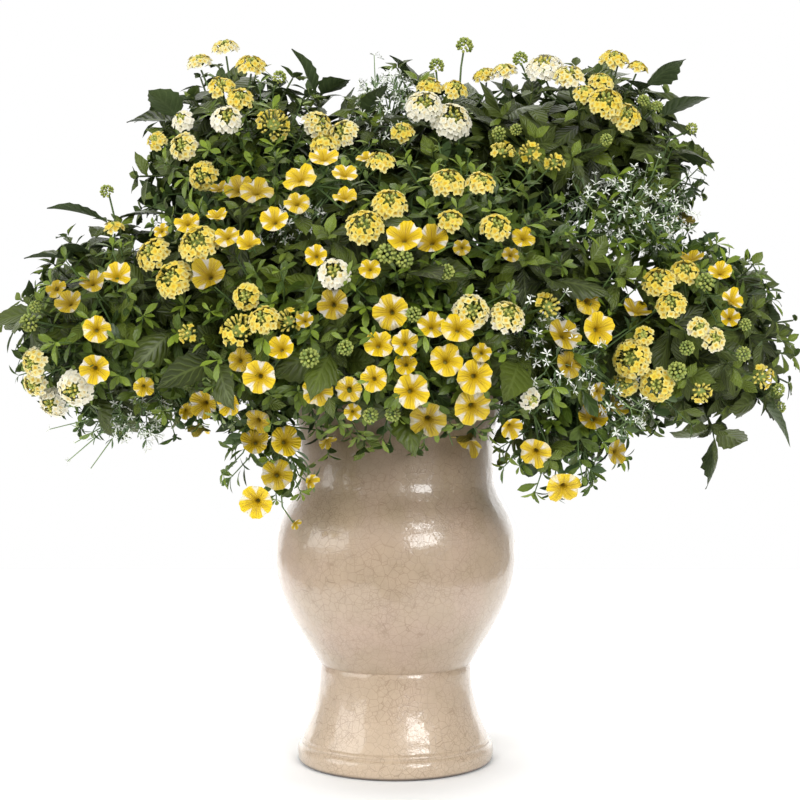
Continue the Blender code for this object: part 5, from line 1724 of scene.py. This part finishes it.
@dataclass
class LantanaHeads:
    """A truss of lantana heads on their stalks, in place of its solid."""

    name: str
    flowers: Sequence[Flower]
    knot: Vector
    patterns: Patterns
    growth: Growth = field(default_factory=Growth)

    FLORET = 0.0039
    CLUB = 0.0022
    TUBE = 0.0085
    CLOSED = 0.13
    HEART = 10
    DOME = 0.62
    AGES = {Stage.TUBES: 0.15, Stage.YELLOW: 0.32, Stage.CREAM: 0.62, Stage.WHITE: 0.92}

    def build(self, palette: Palette) -> Piece:
        """Grow the heads.

        Args:
            palette: The finishes.

        Returns:
            The new piece.
        """
        self.draw = random.Random(f"heads {self.name}")
        for flower in self.flowers:
            self.grow_stalk(flower)
            if flower.stage is Stage.BUD:
                self.grow_bud(flower)
            else:
                self.grow_head(flower)
        return self.growth.piece(f"{self.name}_florets", self.name, "lantana_flower",
                                 [palette[f"lantana {part}"] for part in ("floret", "tube", "bud", "stem")])

    def grow_stalk(self, flower: Flower) -> None:
        """The stalk, from the knot to the underside of the head."""
        route = stalk_route(self.knot, flower.place - flower.facing * flower.radius * 0.45, flower.facing)
        self.growth.thread(self.patterns.stalk, route, (0.0012, 0.0010), 0.5, 0.9, 3)

    def grow_bud(self, flower: Flower) -> None:
        """A tight button of green buds."""
        radius = flower.radius
        centre = flower.place + flower.facing * radius * 0.1
        for direction in spread(34, flower.facing, 2.2):
            place = centre + direction * radius * 0.78
            size = radius * self.draw.uniform(0.15, 0.21)
            matrix = upright(place, direction, flower.side, (size, size, size * 1.25))
            self.growth.stamp(self.patterns.bud, matrix, self.draw.random(), 0.5, 2)

    def grow_head(self, flower: Flower) -> None:
        """A dome of florets whose tubes meet over the stalk, with young buds in its middle."""
        radius = flower.radius
        base = flower.place - flower.facing * radius * 0.50
        count = max(9, round((2.1 if flower.stage is Stage.WHITE else 1.85) * (radius / self.FLORET) ** 2))
        tubes = flower.stage is Stage.TUBES
        hub = upright(flower.place, flower.facing, flower.side, (radius * 0.38, radius * 0.38, radius * 0.22))
        self.growth.stamp(self.patterns.bud, hub, 0.0, 0.3, 2)
        for direction in spread(0 if tubes else self.HEART, flower.facing, 0.75):
            size = self.draw.uniform(0.0011, 0.0016)
            spot = flower.place + direction * radius * self.draw.uniform(0.40, 0.52)
            self.growth.stamp(self.patterns.bud, upright(spot, direction, flower.side, (size, size, size * 1.6)),
                              self.draw.uniform(0.6, 1.0), 0.4, 2)
        for index, direction in enumerate(spread(count, flower.facing, math.radians(88))):
            rise = direction.dot(flower.facing)
            flat = direction - flower.facing * rise
            tip = flower.place + flat * (radius - self.CLUB) + flower.facing * rise * radius * self.DOME
            tip += shake(self.draw, 0.0009)
            axis = tip - base
            length = axis.length
            axis = (axis.normalized() + direction * 0.35).normalized()
            inner = index / count
            closed = inner < self.CLOSED or (tubes and self.draw.random() < 0.72)
            foot = tip - axis * min(self.TUBE, length * 0.92)
            tall = (tip - foot).length
            if closed:
                shrink = 0.90 + self.draw.uniform(0.0, 0.08) if inner < self.CLOSED else 1.0
                matrix = upright(foot, axis, flower.side, (self.CLUB, self.CLUB, tall * shrink))
                self.growth.stamp(self.patterns.club, matrix, self.draw.random(), 0.2, 1)
                continue
            size = self.FLORET * self.draw.uniform(0.85, 1.12)
            turn = self.draw.uniform(0, math.pi)
            side = Matrix.Rotation(turn, 3, axis) @ axis.orthogonal()
            age = self.AGES[flower.stage] + 0.45 * (inner - 0.45) + self.draw.uniform(-0.08, 0.08)
            matrix = upright(foot, axis, side, (size, size, tall))
            self.growth.stamp(self.patterns.floret, matrix, self.draw.random(), min(1.0, max(0.0, age)))


@dataclass
class CalibrachoaBlooms:
    """A truss of calibrachoa blooms on their stalks, in place of its solid."""

    name: str
    flowers: Sequence[Flower]
    knot: Vector
    patterns: Patterns
    growth: Growth = field(default_factory=Growth)

    SWAY = 0.20

    def build(self, palette: Palette) -> Piece:
        """Grow the blooms.

        Args:
            palette: The finishes.

        Returns:
            The new piece.
        """
        draw = random.Random(f"blooms {self.name}")
        for flower in self.flowers:
            radius = flower.radius
            facing = (flower.facing + shake(draw, self.SWAY)).normalized()
            matrix = upright(flower.place, facing, flower.side, (radius,) * 3)
            trumpet = self.patterns.trumpets[draw.randrange(len(self.patterns.trumpets))]
            self.growth.stamp(trumpet, matrix, draw.random(), draw.random())
            self.growth.stamp(self.patterns.calyx, matrix, 0.5, 0.8, 2)
            end = flower.place - flower.facing * radius * 0.90
            ahead = (self.knot - end).dot(flower.facing)
            start = self.knot - flower.facing * (max(0.0, ahead) + 0.004)
            self.growth.thread(self.patterns.stalk, stalk_route(start, end, flower.facing), (0.0009, 0.0007), 0.5,
                               0.9, 2)
        return self.growth.piece(f"{self.name}_petals", self.name, "calibrachoa_flower",
                                 [palette[f"calibrachoa {part}"] for part in ("petal", "petal back", "stem")])


@dataclass(frozen=True)
class Cloud:
    """A haze of small white flowers: its middle, its radii and how many flowers it has."""

    centre: Triple
    radii: Triple
    count: int


CLOUDS = {
    "top": (Cloud((-0.008, -0.058, 0.636), (0.036, 0.036, 0.042), 66),
            Cloud((-0.088, -0.150, 0.512), (0.034, 0.022, 0.026), 30)),
    "right": (Cloud((0.215, -0.085, 0.532), (0.070, 0.060, 0.052), 150),
              Cloud((0.278, -0.060, 0.490), (0.022, 0.030, 0.018), 10)),
    "low_right": (Cloud((0.133, -0.175, 0.392), (0.050, 0.036, 0.046), 62),
                  Cloud((0.205, -0.140, 0.352), (0.034, 0.035, 0.032), 26)),
    "low_left": (Cloud((-0.245, -0.080, 0.347), (0.040, 0.045, 0.036), 46),
                 Cloud((-0.255, -0.090, 0.425), (0.034, 0.030, 0.022), 20)),
}


@dataclass
class EuphorbiaCloud:
    """An airy euphorbia: forking thin stems with small leaves and white bracts, in place of its solid."""

    stand: Stand
    clouds: Sequence[Cloud]
    patterns: Patterns
    growth: Growth = field(default_factory=Growth)

    STAR = 0.0062
    LEAF = 0.012
    BOUGHS = 7

    def build(self, palette: Palette) -> Piece:
        """Grow it.

        Args:
            palette: The finishes.

        Returns:
            The new piece.
        """
        self.draw = random.Random(f"euphorbia {self.stand.name}")
        solid = Solid(self.stand.node)
        heart = self.stand.heart
        self.growth.thread(self.patterns.stem, stem_route(solid.lowest(), heart), (0.0014, 0.0011), 0.5, 0.2, 3)
        for tip in solid.stars():
            self.grow_twig(heart, tip, 0.0007)
        for cloud in self.clouds:
            self.grow_cloud(cloud)
        return self.growth.piece(f"{self.stand.node}_haze", self.stand.node, "euphorbia",
                                 [palette[f"euphorbia {part}"] for part in ("bract", "leaf", "leaf", "stem")])

    def grow_cloud(self, cloud: Cloud) -> None:
        """Boughs from the heart into a cloud, and forking twigs from them to its flowers."""
        heart, centre = self.stand.heart, Vector(cloud.centre)
        forks = []
        for direction in spread(self.BOUGHS, Vector((centre.x, centre.y - 0.1, 0.05)), 2.2):
            fork = centre + Vector([direction[i] * cloud.radii[i] * 0.5 for i in range(3)])
            way = fork - heart
            self.growth.thread(self.patterns.stalk, (heart, heart + way * 0.4 + UP * 0.008, fork - way * 0.25, fork),
                               (0.0009, 0.0006), 0.5, 0.8, 3)
            forks.append(fork)
        for direction in spread(cloud.count, Vector((centre.x * 0.5, -1.0, 0.25)), 2.5):
            depth = self.draw.uniform(0.55, 1.05)
            tip = centre + Vector([direction[i] * cloud.radii[i] * depth for i in range(3)])
            tip += shake(self.draw, 0.003)
            fork = min(forks, key=lambda point: (point - tip).length)
            self.grow_twig(fork, tip, 0.0004)

    def grow_twig(self, start: Vector, tip: Vector, radius: float) -> None:
        """A twig that ends in white bracts, with a pair of small leaves part of the way."""
        way = tip - start
        joint = start + way * 0.55 + shake(self.draw, way.length * 0.12)
        self.growth.thread(self.patterns.twig, (start, start + way * 0.2, joint - way * 0.1, joint),
                           (radius * 1.2, radius), 0.5, 0.9, 3)
        self.growth.thread(self.patterns.twig, (joint, joint + way * 0.12, tip - way * 0.1, tip),
                           (radius, radius * 0.7), 0.5, 0.9, 3)
        heading = way.normalized()
        for side in (1, -1):
            out = heading.orthogonal().normalized() * side
            length = self.LEAF * self.draw.uniform(0.6, 1.1)
            along = (heading + out * self.draw.uniform(0.5, 1.0)).normalized()
            self.growth.stamp(self.patterns.euphorbia_leaf, axes(joint, along, UP, (length,) * 3),
                              self.draw.random(), 0.5, 1)
        looks = (heading + UP * 0.4 + Vector((0.0, -0.3, 0.0))).normalized()
        size = self.STAR * self.draw.uniform(0.75, 1.15)
        star = self.patterns.bracts[self.draw.randrange(len(self.patterns.bracts))]
        turn = Matrix.Rotation(self.draw.uniform(0, 2 * math.pi), 3, looks) @ looks.orthogonal()
        self.growth.stamp(star, upright(tip, looks, turn, (size,) * 3), self.draw.random(), 0.5)
        if self.draw.random() < 0.6:
            beside = tip - heading * 0.004 + turn.normalized() * 0.006
            self.growth.stamp(star, upright(beside, (looks + turn).normalized(), looks, (size * 0.8,) * 3),
                              self.draw.random(), 0.5)


@dataclass(frozen=True)
class Softbox:
    """A light panel: its place and aim, its width and height, its power and whether the glaze mirrors it."""

    name: str
    place: Triple
    aim: Triple
    size: tuple[float, float]
    power: float
    mirrored: bool = True

    def build(self) -> None:
        """Set it up."""
        light = bpy.data.lights.new(self.name, "AREA")
        light.shape = "RECTANGLE"
        light.size, light.size_y = self.size
        light.energy = self.power
        lamp = bpy.data.objects.new(self.name, light)
        lamp.location = self.place
        lamp.visible_glossy = self.mirrored
        lamp.rotation_euler = (Vector(self.aim) - Vector(self.place)).to_track_quat("-Z", "Y").to_euler()
        bpy.context.scene.collection.objects.link(lamp)


@dataclass
class Studio:
    """The pale sweep, the soft light and the camera."""

    palette: Palette
    lights: tuple[Softbox, ...] = (
        Softbox("key", (-1.0, -2.1, 1.9), (0.0, 0.0, 0.45), (1.1, 1.1), 28.0, False),
        Softbox("window", (-1.50, -0.68, 0.72), (0.0, 0.0, 0.25), (1.4, 1.0), 11.0),
        Softbox("softbox", (0.85, -1.62, 0.84), (0.0, 0.0, 0.22), (0.86, 0.58), 13.0),
        Softbox("boom", (0.85, -1.55, 1.62), (0.0, 0.0, 0.25), (0.80, 0.30), 8.0),
        Softbox("top", (0.00, 0.75, 2.00), (0.0, 0.0, 0.50), (1.6, 1.2), 13.0),
    )
    daylight: float = 0.30
    shine: float = 0.30
    sweep: tuple[float, float] = (3.0, 1.6)
    apron: float = 0.55

    def build(self) -> None:
        """Set up the studio."""
        self.build_floor()
        self.build_backdrop()
        self.build_world()
        for light in self.lights:
            light.build()
        scene = bpy.context.scene
        data = bpy.data.cameras.new("camera")
        data.angle = FIELD_OF_VIEW
        camera = bpy.data.objects.new("camera", data)
        camera.location = EYE
        camera.rotation_euler = (math.pi / 2, 0.0, 0.0)
        scene.collection.objects.link(camera)
        scene.camera = camera
        scene.view_settings.view_transform = "Standard"

    def build_floor(self) -> None:
        """The floor, from a little in front of the urn to the backdrop."""
        wide, back = self.sweep
        placing = Matrix.Translation((0.0, (back - self.apron) / 2, 0.0)) @ Matrix.Diagonal(
            (wide, (back + self.apron) / 2, 1.0, 1.0))
        self.panel("studio_floor", placing, self.palette["studio sweep"])

    def build_backdrop(self) -> None:
        """The upright end of the sweep, which the camera doesn't see but the glaze mirrors."""
        wide, back = self.sweep
        placing = Matrix.Translation((0.0, back, 1.2)) @ Matrix.Rotation(math.pi / 2, 4, "X") @ Matrix.Diagonal(
            (wide * 0.6, 1.2, 1.0, 1.0))
        self.panel("studio_backdrop", placing, self.palette["studio backdrop"]).visible_camera = False

    def panel(self, name: str, placing: Matrix, finish: Material) -> Piece:
        """A flat panel of the studio.

        Args:
            name: The panel's name.
            placing: What takes a square of side 2 to its place.
            finish: Its material.

        Returns:
            The panel.
        """
        surface = bmesh.new()
        bmesh.ops.create_grid(surface, x_segments=1, y_segments=1, size=1.0)
        bmesh.ops.transform(surface, matrix=placing, verts=surface.verts)
        mesh = bpy.data.meshes.new(name)
        surface.to_mesh(mesh)
        surface.free()
        mesh.materials.append(finish)
        panel = bpy.data.objects.new(name, mesh)
        bpy.context.scene.collection.objects.link(panel)
        return panel

    def build_world(self) -> None:
        """White to the camera, and softer where it lights or is mirrored."""
        world = bpy.data.worlds.new("studio")
        bpy.context.scene.world = world
        world.use_nodes = True
        wiring = Wiring(world.node_tree)
        background = world.node_tree.nodes["Background"]
        soft = wiring.ray("Diffuse") * (1.0 - self.daylight)
        mirrored = wiring.ray("Glossy") * (1.0 - self.shine)
        wiring.fill(background, {"Color": (1.0, 1.0, 1.0), "Strength": 1.0 - soft - mirrored})


def read_trusses() -> dict[str, tuple[list[Flower], Vector]]:
    """Each truss by its node's name: its flowers, and the knot that their stalks spread from."""
    trusses = {}
    for node in sorted(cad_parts):
        if "_heads_" in node or "_blooms_" in node:
            solid = Solid(node)
            flowers = solid.heads() if "_heads_" in node else solid.blooms()
            trusses[node] = (flowers, solid.rest(flowers))
    return trusses


def log_triangles(pieces: Sequence[Piece]) -> None:
    """Log how many triangles each piece has, and how many they have in all."""
    counts = {piece.name: sum(len(face.vertices) - 2 for face in piece.data.polygons) for piece in pieces}
    for name, triangles in counts.items():
        log.info("%s: %d triangles", name, triangles)
    log.info("all %d pieces: %d triangles", len(counts), sum(counts.values()))


def nearest_stand(point: Vector) -> Stand:
    """The leafy bush whose middle is nearest to a point."""
    leafy = [stand for stand in STANDS if stand.kind is not Kind.EUPHORBIA]
    return min(leafy, key=lambda stand: (stand.heart - point).length)


def main() -> None:
    """Build every piece round the frame."""
    logging.basicConfig(level=logging.INFO, format="%(message)s")
    palette, patterns = build_palette(), Patterns()
    Studio(palette).build()
    pieces = [Urn(palette).build()]
    trusses = read_trusses()
    clearing = Clearing([flower for flowers, _ in trusses.values() for flower in flowers], UrnForm())
    layout = Layout(clearing)
    for node, (flowers, knot) in trusses.items():
        grower = LantanaHeads if "_heads_" in node else CalibrachoaBlooms
        pieces.append(grower(node, flowers, knot, patterns).build(palette))
    leafage = {
        Kind.LANTANA: (LANTANA_SHOOTS, patterns.lantana_leaves, patterns.lantana_plain, patterns.lantana_large),
        Kind.CALIBRACHOA: (CALIBRACHOA_SHOOTS,) + (patterns.calibrachoa_leaves,) * 3,
    }
    for stand in STANDS:
        if stand.kind is Kind.EUPHORBIA:
            pieces.append(EuphorbiaCloud(stand, CLOUDS[stand.name], patterns).build(palette))
            continue
        own = [knot for _, knot in trusses.values() if nearest_stand(knot) is stand]
        bush = LeafyBush(stand, layout.shoots[stand.name], *leafage[stand.kind], patterns, clearing, own,
                         stand.kind is Kind.LANTANA)
        pieces.append(bush.build(palette))
    log_triangles(pieces)


if __name__ == "__main__":
    main()
